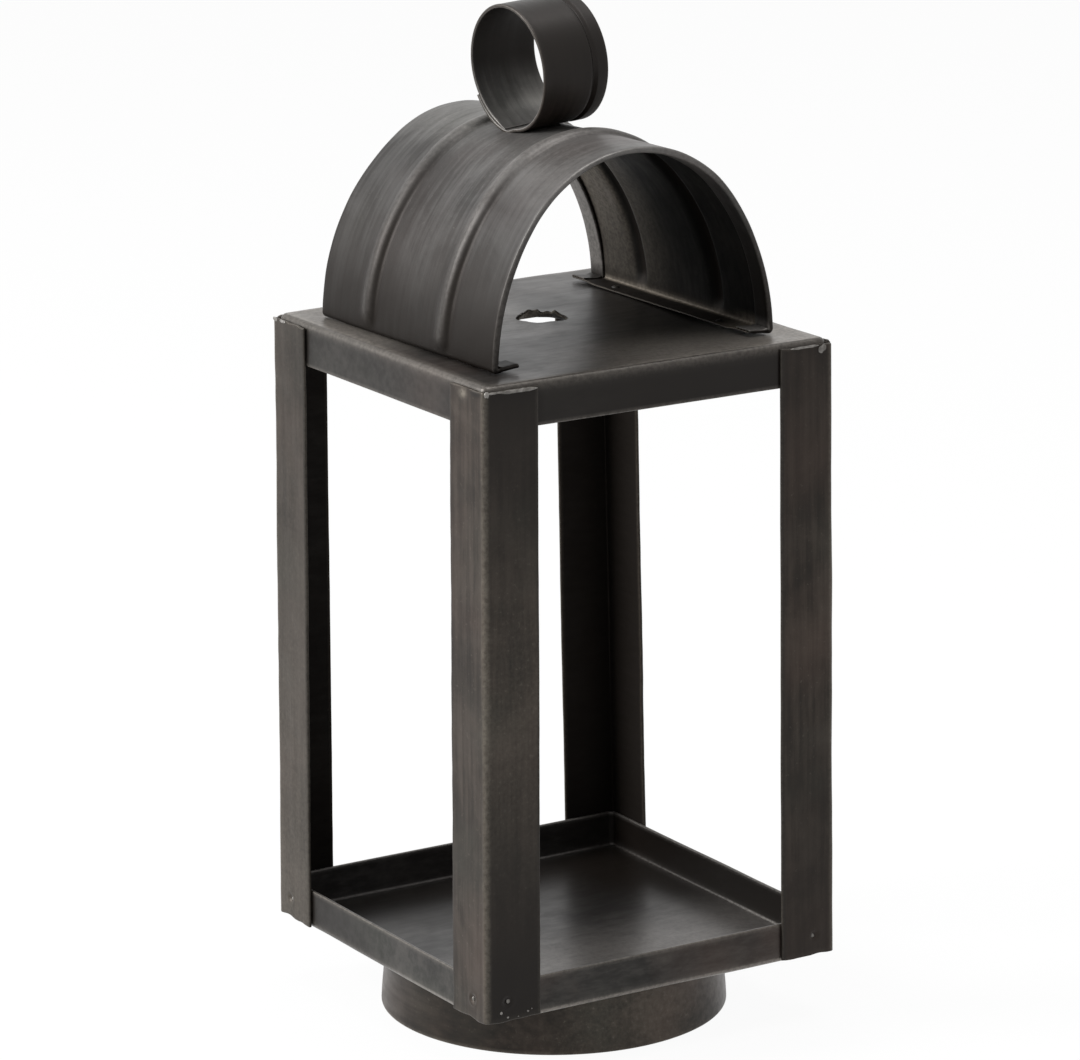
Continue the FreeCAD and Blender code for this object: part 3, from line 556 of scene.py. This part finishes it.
def corner_post(name, side_x, side_y, turn, seed):
    """One folded angle: its section carried up its length, with a crater at each plug weld, a
    little bow along the legs and ends cut by hand."""
    pits = (LEG - PIT_INSET, POST_WIDTH - LEG + PIT_INSET)
    s = marks(0.0, POST_WIDTH, 1.6, ((pits[0], 3.6, 0.45), (pits[1], 3.6, 0.45),
                                     (POST_WIDTH / 2, 2.2, 0.25)))
    z = marks(0.0, POST_LENGTH, 2.2, ((PLUG_RISE, 3.6, 0.45), (POST_LENGTH - 2.6, 2.4, 0.4)))
    share = z / POST_LENGTH
    middle = np.zeros((len(s), len(z), 3))
    middle[..., :2] = post_section(s)[:, None] + 0.05
    middle[..., 2] = z
    cut = 0.35 * ripple(middle * [1, 1, 0], 9.0, seed)
    middle[..., 2] += cut * (1.0 - smooth(np.minimum(z, POST_LENGTH - z), 0.0, 12.0))
    middle[..., 2] = np.clip(middle[..., 2], 0.0, POST_LENGTH)
    craters = np.zeros((len(s), len(z)))
    for pit in pits:
        away = np.hypot(s[:, None] - pit, z[None, :] - PLUG_RISE)
        craters += -0.75 * hill(away, 0.0, 1.25) + 0.12 * hill(away, 2.3, 0.6)
    middle = middle @ about_z(turn) + [side_x * FRAME_HALF, side_y * FRAME_HALF, POST_BASE]

    # The fold carries a painted highlight and both free edges a painted shadow line. The back posts
    # are darkened as painted shade, and the front posts a little all over and on their front faces
    # more, most towards the ends.
    wear = 0.3 * hill(s, POST_WIDTH / 2, 1.0)[:, None] * np.ones(len(z))
    front = smooth(-middle[..., 1], FRAME_HALF - 1.6, FRAME_HALF - 0.8)
    if side_y > 0:
        soot = 0.8 if side_x > 0 else 0.5
    else:
        ends = 1.7 if side_x < 0 else 0.9
        soot = 0.2 + front * (ends * np.abs(share - 0.54) + 0.02)
    soot = soot + 0.6 * (1.0 - smooth(np.minimum(s, POST_WIDTH - s), 0.3, 1.5))[:, None]
    if (side_x, side_y) == (-1, 1):
        wear = wear + 0.05 + 0.14 * (1.0 - share) ** 2
    if (side_x, side_y) == (-1, -1):
        # The near post's front is paler at half height as a painted highlight, its side paler in a
        # patch at its top, and painted shadow lines lie under the solder.
        from_x, from_y = middle[..., 0] + FRAME_HALF, middle[..., 1] + FRAME_HALF
        wear = (wear + 0.09 * front * hill(share, 0.5, 0.25)
                + 0.6 * (1 - front) * hill(from_y, 13.0, 2.2) * hill(z, 212.2, 1.7))
        soot = (soot + 0.7 * front * smooth(from_x, 4.0, 8.0) * hill(z, 212.5, 0.5)
                + 0.95 * hill(from_y, 5.0, 3.6) * hill(z, 213.5, 1.1))
    return sheet(name, middle, THIN_SHEET, (STEEL_UPRIGHT, STEEL_INSIDE), s, z,
                 uneven=((0.1, 60.0, seed), (0.035, 9.0, seed + 1)), outer_shift=craters,
                 rim=0.14, wear=wear, soot=soot, inner_wear=0.0)


POSTS = (("post_front_left", -1, -1, 0), ("post_front_right", 1, -1, 90),
         ("post_back_right", 1, 1, 180), ("post_back_left", -1, 1, 270))
for number, (name, side_x, side_y, turn) in enumerate(POSTS):
    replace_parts(corner_post(name + "_folded", side_x, side_y, turn, 11 + 7 * number), name)


# Base tray and top pan


def square_loop(half):
    """Points and outward normals round a square with rounded corners, anticlockwise seen from
    above: a quarter arc and a side, repeated by quarter turns. Five closer points at each side's
    ends lie where a post's flange stops."""
    turn = np.linspace(0.0, np.pi / 2, 7)
    out = np.stack([np.cos(turn), np.sin(turn)], -1)
    arc = half - BOX_CORNER + BOX_CORNER * out
    along = np.linspace(half - BOX_CORNER, BOX_CORNER - half, 45)[1:-1]
    beside_post = np.array([48.9, 48.3, 47.6, 46.9, 46.2])
    along = np.unique(np.concatenate([along, beside_post, -beside_post]))[::-1]
    side = np.stack([along, np.full(len(along), half)], -1)
    points = np.concatenate([arc, side])
    normals = np.concatenate([out, np.tile([0.0, 1.0], (len(along), 1))])
    loop, outward = [], []
    for quarter in range(4):
        spin = np.round(about_z(90 * quarter)[:2, :2])
        loop.append(points @ spin)
        outward.append(normals @ spin)
    return np.concatenate(loop), np.concatenate(outward)


CORE, CORE_OUT = square_loop(BOX_FLAT)


def box_fold(floor_z, rim_z, hub, share):
    """Middle surface of a folded square box: straight lines from the hub out to the floor's
    edge, the quarter arc of the fold and the wall up or down to the rim. The hub is the middle
    or a hole's edge, and share is how far out from it each row of the floor lies. Returns the
    grid and the place of each row in mm."""
    way = 1.0 if rim_z > floor_z else -1.0
    floor = hub[None] + (CORE[None] - hub[None]) * share[:, None, None]
    turn = np.linspace(0.0, np.pi / 2, 7)[1:]
    fold = CORE[None] + CORE_OUT[None] * (BOX_BEND * np.sin(turn))[:, None, None]
    fold_z = floor_z + way * BOX_BEND * (1 - np.cos(turn))
    rise = marks(0.0, abs(rim_z - floor_z) - BOX_BEND, 1.5)[1:]
    wall = np.repeat((CORE + CORE_OUT * BOX_BEND)[None], len(rise), axis=0)
    wall_z = floor_z + way * (BOX_BEND + rise)
    flat = np.concatenate([floor, fold, wall])
    z = np.concatenate([np.full(len(share), floor_z), fold_z, wall_z])
    grid = np.concatenate([flat, np.broadcast_to(z[:, None, None], flat.shape[:2] + (1,))], -1)
    rows = np.concatenate([share * BOX_FLAT, BOX_FLAT + BOX_BEND * turn,
                           BOX_FLAT + BOX_BEND * math.pi / 2 + rise])
    return grid, rows


def on_plate(grid):
    """1 over a box's flat plate, falling to 0 at its walls: the bell exp(-(r / reach) ** 8) of
    the larger of the two distances from the middle."""
    return np.exp(-(np.abs(grid[..., :2]).max(-1) / PLATE_REACH) ** 8)


# The tray's outer skin, which looks up, is its bed. It carries painted highlights along the bend
# from floor to wall and over the floor's front, and painted shade towards the back and the right,
# and on the right wall.
tray_grid, tray_rows = box_fold(TRAY_BASE + SHEET / 2, TRAY_BASE + TRAY_WALL, np.zeros((1, 2)),
                                np.linspace(0.02, 1.0, 26))
sag = 0.25 * ripple(tray_grid, 55.0, 5)
tray_grid[..., 2] += (sag + 0.2) * on_plate(tray_grid)
x, y, z = np.moveaxis(tray_grid, -1, 0)
tray_wear = (0.3 * hill(tray_rows, BOX_FLAT + 1.4, 1.4)[:, None]
             + 0.45 * smooth(-y, -10.0, 35.0) * (z < TRAY_BASE + 2.0))
tray_soot = (0.75 * smooth(y, -15.0, 38.0) + 0.6 * smooth(x, 28.0, 62.0) * smooth(y, -60.0, 0.0)
             + 0.9 * smooth(x, 66.0, 67.0) - 0.75 * smooth(y, 65.0, 67.0))
tray = sheet("base_tray_folded", tray_grid, SHEET, (STEEL_BED, STEEL_FLAT), tray_rows, pole=True,
             uneven=((0.06, 30.0, 6),), wear=tray_wear, soot=tray_soot)
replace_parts(tray, "base_tray")

# The torn vent: its edge wanders about a circle with one longer tear, and its lip is punched up
# in teeth that stand higher on the far side.
bearing = np.arctan2(CORE[:, 1] - VENT[1], CORE[:, 0] - VENT[0])
ray = np.stack([np.cos(bearing), np.sin(bearing)], -1)
tooth = 0.5 + 0.3 * np.sin(5 * bearing + 1.6) + 0.2 * np.sin(13 * bearing + 0.5)
far_side = smooth(np.cos(bearing - math.radians(62.0)), -0.35, 0.55)
lip = 0.6 + 0.4 * tooth + far_side * (0.7 + 1.1 * tooth)
tear = np.maximum(np.cos(bearing + math.radians(32.0)), 0.0) ** 8
vent_edge = VENT + (VENT_RADIUS + 0.5 * np.sin(5 * bearing) + 3.2 * tear)[:, None] * ray
climb = np.linspace(1.0, 0.0, 9)[:-1]
petal_flat = vent_edge[None] - ray[None] * (lip[None] * 0.4 * climb[:, None])[..., None]
petal_z = (PAN_TOP - SHEET / 2
           + (0.25 + 0.75 * far_side)[None] * lip[None] * 0.9 * climb[:, None] ** 1.4)
petals = np.concatenate([petal_flat, petal_z[..., None]], -1)

# The pan: a plate that bows down a little, and a skirt folded down all round
plate_share = np.unique(np.concatenate([np.linspace(0.0, 1.0, 30) ** 1.3,
                                        np.linspace(0.0, 0.16, 16)]))
pan_grid, pan_rows = box_fold(PAN_TOP - SHEET / 2, PAN_TOP - PAN_SKIRT, vent_edge, plate_share)
pan_grid = np.concatenate([petals, pan_grid])
pan_rows = np.concatenate([pan_rows[0] - 3.0 * climb, pan_rows])
pan_grid[..., 2] -= 0.25 * on_plate(pan_grid) * (1.0 + ripple(pan_grid * [1, 1, 0], 60.0, 15))
x, y, _ = np.moveaxis(pan_grid, -1, 0)
on_skirt = (pan_rows > BOX_FLAT)[:, None]
# The plate carries painted reflections over its front right and left of the vent, and painted shade
# right of the vent and over its front left.
plate_wear = (0.85 * smooth(-y, 20.0, 50.0) * smooth(x, -35.0, 15.0)
              + 0.5 * smooth(-x, -14.0, 6.0) * smooth(y, -20.0, 20.0))
plate_soot = (0.85 * smooth(x, 8.0, 28.0) * (1.0 - smooth(-y, 24.0, 54.0))
              * (1.0 - 0.6 * smooth(y, 25.0, 50.0))
              + 0.3 * smooth(-y, -5.0, 30.0) * (1.0 - smooth(x, -20.0, 10.0)))
# Painted shadow in the gaps beside the posts' flanges. The skirt is darkened as painted shade
# all round, more on the front and towards the right, and the pan's top fold carries a painted
# highlight.
gap_soot = np.maximum(hill(np.abs(x), 47.6, 0.9) * (y < -67.0), 0.5 * hill(np.abs(y), 47.6, 0.9))
skirt_soot = (0.44 + 0.6 * gap_soot
              + (0.46 + 0.3 * smooth(x, -30.0, 45.0)) * smooth(-y, 64.0, 68.0))
pan_wear = 0.32 * hill(pan_rows, BOX_FLAT + 0.8, 2.0)[:, None] + ~on_skirt * plate_wear
pan = sheet("top_pan_folded", pan_grid, SHEET, (STEEL_FLAT, STEEL_INSIDE), pan_rows,
            uneven=((0.06, 30.0, 16),), wear=pan_wear,
            soot=np.where(on_skirt, skirt_soot, plate_soot))
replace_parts(pan, "top_pan")


# Foot

# A strip rolled into a ring, wider at the floor and drawn in a little at half height. sheet()'s
# outer skin is here the one that looks in.
turn = np.linspace(0.0, 2 * np.pi, 181)[:-1]
rise = marks(0.0, FOOT_HEIGHT, 1.5)
radius = FOOT_HALF - SHEET / 2 - (FOOT_HALF - NECK_HALF) * rise / FOOT_HEIGHT
radius = radius - 0.3 * hill(rise, 12.0, 6.0)
x = radius[:, None] * np.cos(turn)
foot_grid = np.stack([x, radius[:, None] * np.sin(turn), rise[:, None] * np.ones(len(turn))], -1)
# The foot is paler in a band across its middle as a painted highlight, and darker towards its left
# and right as painted shade.
foot = sheet("foot_ring_rolled", foot_grid, THIN_SHEET, (STEEL_INSIDE, STEEL_UPRIGHT), rise,
             uneven=((0.05, 45.0, 21),),
             wear=0.12 * (smooth(x, -45.0, -15.0) - smooth(x, 5.0, 35.0)),
             soot=0.4 * smooth(-x, 10.0, 50.0) + 0.25 * smooth(x, 10.0, 45.0))
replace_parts(foot, "foot_ring")


# Hood


def hood_path(half_width, arch_rise, side_radius, shift):
    """Middle line of the hood's sheet across the tunnel, from one free foot edge to the other:
    a foot, its bend and three tangent arcs, the outer two centred on the pan's level. Returns
    the points and how far each foot point lies from its bend."""
    half = HOOD_SHEET / 2
    centre = side_radius - half_width
    crown = ((half_width ** 2 + arch_rise ** 2 - 2 * half_width * side_radius)
             / (2 * (arch_rise - side_radius)))
    heart = arch_rise - crown
    turn = math.atan2(heart, centre)
    leave = math.asin((HOOD_BEND + half) / (side_radius - half))
    hub = np.array([centre - (side_radius - half) * math.cos(leave) + HOOD_BEND, HOOD_BEND + half])
    swing = np.linspace(-math.pi / 2 - FOOT_SPRING, -math.pi, 12)
    arc = hub + HOOD_BEND * np.stack([np.cos(swing), np.sin(swing)], -1)
    run = np.concatenate([FOOT_FLAT - np.array([0.0, 0.1, 0.25, 0.45]),
                          np.linspace(FOOT_FLAT - 1.0, 1.0, 8)])
    flange = arc[0] + run[:, None] * np.array([math.cos(FOOT_SPRING), math.sin(FOOT_SPRING)])
    side_turn = np.linspace(leave, turn, 52)[1:]
    side = np.stack([centre - (side_radius - half) * np.cos(side_turn),
                     (side_radius - half) * np.sin(side_turn)], -1)
    crown_turn = np.linspace(turn, math.pi / 2, 46)[1:]
    top = np.stack([-(crown - half) * np.cos(crown_turn),
                    heart + (crown - half) * np.sin(crown_turn)], -1)
    left = np.concatenate([flange, arc, side, top])
    line = np.concatenate([left, left[:-1][::-1] * [-1, 1]]) + [shift, 0.0]
    free = np.zeros(len(line))
    free[:len(run)], free[-len(run):] = run, run[::-1]
    return line, free


def length_along(line):
    """Length of a line from its start to each of its points."""
    return np.concatenate([[0.0], np.cumsum(np.linalg.norm(np.diff(line, axis=0), axis=1))])


def hood_section():
    """Section of the hood along the tunnel, as (y, n) with n the distance out from the middle
    sheet: a hem folded back inside by a half circle, the wall, with closer points at its two
    beads, and the other hem."""
    half = HOOD_DEPTH / 2
    edge = half - HEM_FOLD - HOOD_SHEET / 2
    hem = np.concatenate([[0.0, 0.1, 0.25, 0.45], np.linspace(0.9, HEM - 1.2, 6)])
    back = np.stack([-(half - HEM) - hem, np.full(len(hem), -2 * HEM_FOLD)], -1)
    back = back[back[:, 0] > -edge + 0.3]
    turn = np.linspace(-np.pi / 2, -3 * np.pi / 2, 9)
    curl = np.stack([-edge + HEM_FOLD * np.cos(turn), -HEM_FOLD + HEM_FOLD * np.sin(turn)], -1)
    y = np.concatenate([np.arange(-edge + 1.0, -BEAD_PLACE - 5.5, 2.0),
                        np.arange(-BEAD_PLACE - 5.0, -BEAD_PLACE + 5.01, 0.5),
                        np.arange(-BEAD_PLACE + 6.5, BEAD_PLACE - 6.0, 2.0),
                        np.arange(BEAD_PLACE - 5.0, BEAD_PLACE + 5.01, 0.5),
                        np.arange(BEAD_PLACE + 6.5, edge - 0.8, 2.0)])
    wall = np.stack([y, np.zeros(len(y))], -1)
    front = np.concatenate([back, curl])
    return np.concatenate([front, wall, front[::-1] * [-1, 1]])


section = hood_section()
y, out = section.T
front_line, foot_run = hood_path(*FRONT_ARCH)
back_line, _ = hood_path(*BACK_ARCH)
depth = np.clip(0.5 + y / HOOD_DEPTH, 0.0, 1.0)[None, :, None]
line = front_line[:, None] * (1 - depth) + back_line[:, None] * depth
slope = directions(line, 0, False)
facing = np.stack([-slope[..., 1], slope[..., 0]], -1)
height = line[:, :1, 1]
right_side = line[:, :1, 0] > 0
on_arch = (foot_run == 0)[:, None]
fade = smooth(height, 1.5, 6.0) * on_arch

# Each bead rises from the single sheet and fades out above the feet. It carries a painted
# highlight behind its crest and painted shade before it.
pressed = 1.0 - 0.45 * smooth(foot_run, 0.0, 3.0)[:, None]     # the feet are hammered thinner
out_of = out[None] * pressed
bead_highlight, bead_soot = np.zeros(len(y)), np.zeros(len(y))
for place in (-BEAD_PLACE, BEAD_PLACE):
    out_of = out_of + fade * (through(y - place, BEAD_PLACES, BEAD_RISES) * (out == 0))[None]
    bead_highlight = bead_highlight + hill(y, place + 1.4, 2.8) * (out == 0)
    bead_soot = bead_soot + 0.28 * hill(y, place - 3.0, 1.6) * (out == 0)

# The single sheet of a foot lies down on the pan. Only its doubled ends stay sprung up.
tabs = smooth(np.abs(y), 40.0, 46.0)[None]
settle = -foot_run[:, None] * math.tan(math.radians(4.0)) * (1 - tabs)
hood_grid = np.zeros((len(line), len(y), 3))
hood_grid[..., 0] = line[..., 0] + facing[..., 0] * out_of
hood_grid[..., 1] = y
hood_grid[..., 2] = PAN_TOP + line[..., 1] + facing[..., 1] * out_of + settle
# The crown is dented where the ring sits on it.
dent = np.exp(-((hood_grid[..., 0] - SEAT[0]) / 12.0) ** 2 - ((y - SEAT[1]) / 11.0) ** 2)
hood_grid[..., 2] -= 1.6 * dent * (height > 40.0)

# Outside, painted highlights lie on the beads, the crown, the folded ends, the back hem and the
# front tab of the right foot, and painted shade lies near the feet and on the front band.
hem_layer = out < -1.0
front_end = smooth(-y, 30.0, 44.0)[None] * right_side
lit_front_tab = (1.0 - fade) * front_end * hem_layer[None]
lit_back_hem = fade * right_side * (hem_layer & (y > 0))[None]
end_fold = (np.abs(y) > HOOD_DEPTH / 2 - 0.9)[None]
hood_wear = (fade * (0.13 + 0.11 * smooth(height, 25.0, 62.0)) * bead_highlight[None]
             + 0.6 * lit_front_tab + 0.4 * lit_back_hem + 0.16 * smooth(height, 46.0, 66.0)
             + 0.14 * on_arch * end_fold)
front_band_shade = (smooth(-y, 20.0, 34.0)[None]
              * (0.1 * (1 - smooth(height, 20.0, 62.0)) + 0.14 * hill(height, 46.0, 16.0)))
hood_soot = (0.9 - 0.9 * smooth(height, 4.0, 70.0) - 0.8 * lit_front_tab + fade * bead_soot[None]
             + front_band_shade + 0.08 * hill(height, 34.0, 18.0))
# Inside, the back band carries a painted highlight, and the middle one less and towards its back
# only, as do the bends above the feet and the right foot's front tab. Painted shade lies in the
# beads' grooves and on the other feet.
lit_bands = 0.44 * smooth(y, 25.5, 28.5) + 0.3 * smooth(y, -2.0, 19.0) * (y < 21.0)
groove_shade = hill(y, 23.4, 1.7) + 0.95 * hill(y, -22.4, 2.0)
inner_wear = (0.45 * hill(height, 1.1, 1.2) * (foot_run < 0.5)[:, None]
              + 0.7 * (1.0 - fade) * front_end
              + fade * (0.3 + 0.7 * smooth(height, 8.0, 50.0)) * lit_bands[None])
inner_soot = 0.8 * (1.0 - fade) * (1.0 - front_end) + fade * groove_shade[None]
hood = sheet("hood_arched", hood_grid, HOOD_SHEET * pressed, (STEEL_HOOD, STEEL_INSIDE),
             length_along(front_line), length_along(section), slot="hood_sheet",
             uneven=((0.12, 50.0, 31), (0.03, 11.0, 32)), rim=0.15, wear=hood_wear,
             soot=hood_soot, inner_wear=inner_wear, inner_soot=inner_soot)
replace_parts(hood, "hood")


# Carrying ring

# A strip rolled by more than one turn, so that its outer end laps over the inner one. A groove
# with a raised lip runs round it near its far end, and a faint ridge near the other.
end_steps = np.array([0.0, 0.2, 0.5, 1.0, 1.7])
degrees = np.concatenate([RING_START + end_steps, np.arange(12.0, 416.0, 2.0),
                          RING_STOP - end_steps[::-1]])
turn = np.radians(degrees)
along = marks(-RING_HALF, RING_HALF, 0.9, ((7.6, 1.6, 0.2),))
strip_radius = RING_RADIUS - SHEET / 2
radius = strip_radius - 0.1 + 1.25 * smooth(degrees, 353.0, 368.0)
radius = radius - 0.5 * hill(degrees % 360.0, 50.0, 24.0)
# The strip's inner end is filed thin, so that no step shows in the bore.
ring_thick = SHEET * (0.22 + 0.78 * smooth(degrees, RING_START, 24.0))
radius = radius + (SHEET - ring_thick) / 2
profile = (0.3 * smooth(along, 8.2, 9.0) - 0.5 * hill(along, 7.6, 0.6)
           + 0.1 * hill(along, -12.8, 0.8))
everywhere = np.ones((len(turn), len(along)))
ring_grid = track(along[None] * everywhere, (radius * np.sin(turn))[:, None],
                  (-radius * np.cos(turn))[:, None])
tilted = math.radians(RING_TILT)
tilt = np.array([[math.cos(tilted), 0, math.sin(tilted)], [0, 1, 0],
                 [-math.sin(tilted), 0, math.cos(tilted)]])
ring_grid = ring_grid @ tilt @ about_z(RING_TURN) + RING_MIDDLE
# The ring is darkened over its upper half as painted shade.
ring = sheet("carry_ring_rolled", ring_grid, ring_thick[:, None], (STEEL_STRIP, STEEL_RUBBED_AND_LIT),
             turn * strip_radius, along, uneven=((0.08, 25.0, 41),),
             outer_shift=profile[None] * everywhere, rim=0.22,
             soot=0.93 * smooth(ring_grid[..., 2] - RING_MIDDLE[2], -17.0, 0.0))
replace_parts(ring, "carry_ring")


# Solder and welds


def tapered(count, radius, lead=4):
    """Radii along a run that rise from a point at both ends."""
    place = np.arange(count, dtype=float)
    ends = np.minimum(place, place[::-1]) / lead
    return radius * np.sqrt(np.clip(ends, 0.004, 1.0))


def edge_drop(side_x, side_y, front, place, reach, fall, radius, down, seed):
    """A drop of solder pressed flat on a post's end, on the front or the side face. It runs from
    place to place + reach mm from the corner, and falls by the given height on the way from
    its start, down mm below the post's end."""
    count = 14
    away = FRAME_HALF - np.linspace(place, place + reach, count)
    face = np.full(count, FRAME_HALF + 0.05)
    level = POST_BASE + POST_LENGTH - down - np.linspace(0.0, fall, count)
    x, y = (away, face) if front else (face, away)
    normal = (0.0, 1.0, 0.0) if front else (1.0, 0.0, 0.0)
    return bead_run(track(side_x * x, side_y * y, level), tapered(count, radius, 3), seed, 0.1,
                    normal)


# The drops at the corners: side_x, side_y, front, place, reach, fall, radius and down
CORNER_SOLDER = (
    (-1, -1, True, 6.5, 14.6, 0.0, 0.62, 0.55), (-1, -1, True, 0.4, 1.8, 0.2, 0.9, 0.5),
    (-1, -1, True, 1.4, 6.5, 0.0, 0.35, 0.3),
    (1, -1, True, 3.2, 3.0, 2.0, 1.1, 0.6), (1, -1, True, 6.0, 12.0, 0.0, 0.4, 0.3),
    (1, -1, False, 2.0, 5.0, 0.0, 0.6, 0.4), (1, 1, True, 1.0, 6.0, 0.0, 0.7, 0.5),
    (1, 1, False, 1.0, 6.0, 0.0, 0.7, 0.5), (-1, 1, True, 2.0, 6.0, 0.0, 0.6, 0.4),
    (-1, 1, False, 0.4, 3.0, 0.0, 0.7, 0.4), (-1, 1, False, 5.0, 4.0, 0.0, 0.5, 0.4))
runs = [edge_drop(*drop, 50 + number) for number, drop in enumerate(CORNER_SOLDER)]
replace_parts(joined("corner_solder_runs", runs, SOLDER), "corner_solder")

# The saddle of solder between the crown and the ring follows the crown down at both ends.
x = np.linspace(-10.0, 8.0, 24)
saddle = track(x, RING_MIDDLE[1] + 0.5, 306.05 + 0.04 * x - 0.008 * x ** 2)
runs = [bead_run(saddle, tapered(24, 2.6), 60, 0.1, (0.0, 0.0, 1.0))]
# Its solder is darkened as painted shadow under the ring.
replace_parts(joined("ring_solder_saddle", runs, SHADED_SOLDER), "ring_solder")

runs = []
for number in range(4):
    sweep = np.radians(90.0 * number + np.linspace(-6.0, 6.0, 12))
    tack = track((NECK_HALF - 2.0) * np.cos(sweep), (NECK_HALF - 2.0) * np.sin(sweep),
                 FOOT_HEIGHT - 0.7)
    runs.append(bead_run(tack, tapered(12, 1.0), 70 + number))
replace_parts(joined("foot_solder_tacks", runs, SOLDER), "foot_solder")

HOOD_PLUGS = ((-49.9, -32.0), (49.9, -32.0), (-49.9, 32.0), (49.9, 32.0))
runs = []
for number, (across, deep) in enumerate(HOOD_PLUGS):
    plug = track(across + np.linspace(-1.9, 1.9, 9), deep, PAN_TOP + 0.65)
    runs.append(bead_run(plug, tapered(9, 1.6, 3), 80 + number, squash=(0.0, 0.0, 1.0)))
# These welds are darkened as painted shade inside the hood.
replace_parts(joined("hood_foot_welds", runs, SHADED_SOLDER), "hood_welds")

# A plug weld in each crater of the posts, and weld spatter on the near post's front: the place
# from the corner, the height above the post's foot and the radius of each drop
SPATTER = ((6.0, 3.4, 0.6), (8.6, 1.6, 0.5), (12.6, 1.2, 0.3), (16.4, 2.4, 0.5), (17.9, 2.9, 0.25))
runs = []
for number, (_, side_x, side_y, _) in enumerate(POSTS):
    for flip in (0, 1):
        reach, face = FRAME_HALF - PLUG_INSET, FRAME_HALF - 0.95
        x, y = (reach, face) if flip else (face, reach)
        plug = track(side_x * x, side_y * y, POST_BASE + PLUG_RISE + np.linspace(-1.0, 1.0, 7))
        runs.append(bead_run(plug, tapered(7, 0.8, 2), 90 + 2 * number + flip))
for number, (place, up, size) in enumerate(SPATTER):
    drop = track(place - FRAME_HALF + np.linspace(-size, size, 5), 0.15 - FRAME_HALF,
                 POST_BASE + up)
    runs.append(bead_run(drop, tapered(5, size, 2), 110 + number))
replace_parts(joined("post_foot_welds", runs, SOLDER), "bottom_welds")


# Floor, light and camera

WHITE = (1.0, 1.0, 1.0, 1.0)
PALE = (0.8, 0.8, 0.8, 1.0)
FLOOR_HALF = 6.0
FLOOR_GLOW = 0.95
WORLD_FILL = 0.26
LAMP_AIM = (0.0, 0.0, 0.2)


def seen_rays(tree):
    """1 for what the camera sees straight, in a reflection or through glass, and otherwise 0."""
    rays = node(tree, "LightPath").outputs
    seen = rays["Is Camera Ray"]
    for kind in ("Is Glossy Ray", "Is Transmission Ray"):
        seen = node(tree, "Math", {0: seen, 1: rays[kind]}, operation="MAXIMUM").outputs[0]
    return seen


def studio_floor():
    """A plain pale floor that shows as white and keeps the object's soft shadow."""
    material = bpy.data.materials.new("pale_floor")
    tree = emptied(material)
    part = node(tree, "Math", {0: seen_rays(tree), 1: FLOOR_GLOW}, operation="MULTIPLY")
    matt = node(tree, "BsdfDiffuse", {"Color": PALE})
    glow = node(tree, "Emission", {"Color": WHITE, "Strength": 1.0})
    mix = node(tree, "MixShader", {0: part.outputs[0], 1: matt.outputs[0], 2: glow.outputs[0]})
    node(tree, "OutputMaterial", {"Surface": mix.outputs[0]})
    corners = [(x * FLOOR_HALF, y * FLOOR_HALF, 0) for x, y in ((-1, -1), (1, -1), (1, 1), (-1, 1))]
    mesh = bpy.data.meshes.new("floor")
    mesh.from_pydata(corners, [], [(0, 1, 2, 3)])
    mesh.materials.append(material)
    floor = bpy.data.objects.new("floor", mesh)
    bpy.context.scene.collection.objects.link(floor)


def studio_world():
    """White where the camera or a reflection sees it, and a plain grey light elsewhere."""
    world = bpy.data.worlds.new("studio")
    bpy.context.scene.world = world
    tree = emptied(world)
    plain = node(tree, "Background", {"Color": WHITE, "Strength": WORLD_FILL})
    white = node(tree, "Background", {"Color": WHITE, "Strength": 1.0})
    mix = node(tree, "MixShader", {0: seen_rays(tree), 1: plain.outputs[0], 2: white.outputs[0]})
    node(tree, "OutputWorld", {"Surface": mix.outputs[0]})


def stand(thing, place, right, up, back):
    """Place a lamp or camera by its own three directions."""
    matrix = np.eye(4)
    matrix[:3, 0], matrix[:3, 1], matrix[:3, 2], matrix[:3, 3] = right, up, back, place
    thing.matrix_world = Matrix(matrix.tolist())


def area_lamp(name, place, size, watts):
    """A soft square lamp, turned towards the middle of the frame."""
    lamp = bpy.data.lights.new(name, "AREA")
    lamp.shape = "SQUARE"
    lamp.size = size
    lamp.energy = watts
    holder = bpy.data.objects.new(name, lamp)
    bpy.context.scene.collection.objects.link(holder)
    back = unit(np.array(place) - np.array(LAMP_AIM))
    right = unit(np.cross([0.0, 0.0, 1.0], back))
    stand(holder, place, right, np.cross(back, right), back)


def photo_camera():
    """The camera of the photograph. It stands at its heading and height, looks back towards the
    upright axis turned by the swing, is tilted about its right and then rolled."""
    heading, tilt, roll, swing = (math.radians(angle) for angle in (
        CAMERA_HEADING, CAMERA_TILT, CAMERA_ROLL, CAMERA_SWING))
    level = np.array([-math.sin(heading + swing), math.cos(heading + swing), 0.0])
    right = np.cross(level, [0.0, 0.0, 1.0])
    ahead = math.cos(tilt) * level + math.sin(tilt) * np.array([0.0, 0.0, 1.0])
    up = np.cross(right, ahead)
    right, up = (math.cos(roll) * right + math.sin(roll) * up,
                 math.cos(roll) * up - math.sin(roll) * right)
    place = (CAMERA_DISTANCE * math.sin(heading), -CAMERA_DISTANCE * math.cos(heading),
             CAMERA_HEIGHT)
    data = bpy.data.cameras.new("photo_camera")
    data.sensor_fit = "HORIZONTAL"
    data.sensor_width = CAMERA_SENSOR
    data.lens = CAMERA_LENS
    data.clip_start = 0.05
    data.clip_end = 50.0
    camera = bpy.data.objects.new("photo_camera", data)
    bpy.context.scene.collection.objects.link(camera)
    stand(camera, place, right, up, -ahead)
    bpy.context.scene.camera = camera


studio_floor()
studio_world()
area_lamp("key_left", (-1.65, 0.8, 1.12), 1.2, 72.0)
area_lamp("top_soft", (0.15, -0.1, 2.0), 1.2, 26.0)
photo_camera()
bpy.context.scene.view_settings.view_transform = "Standard"
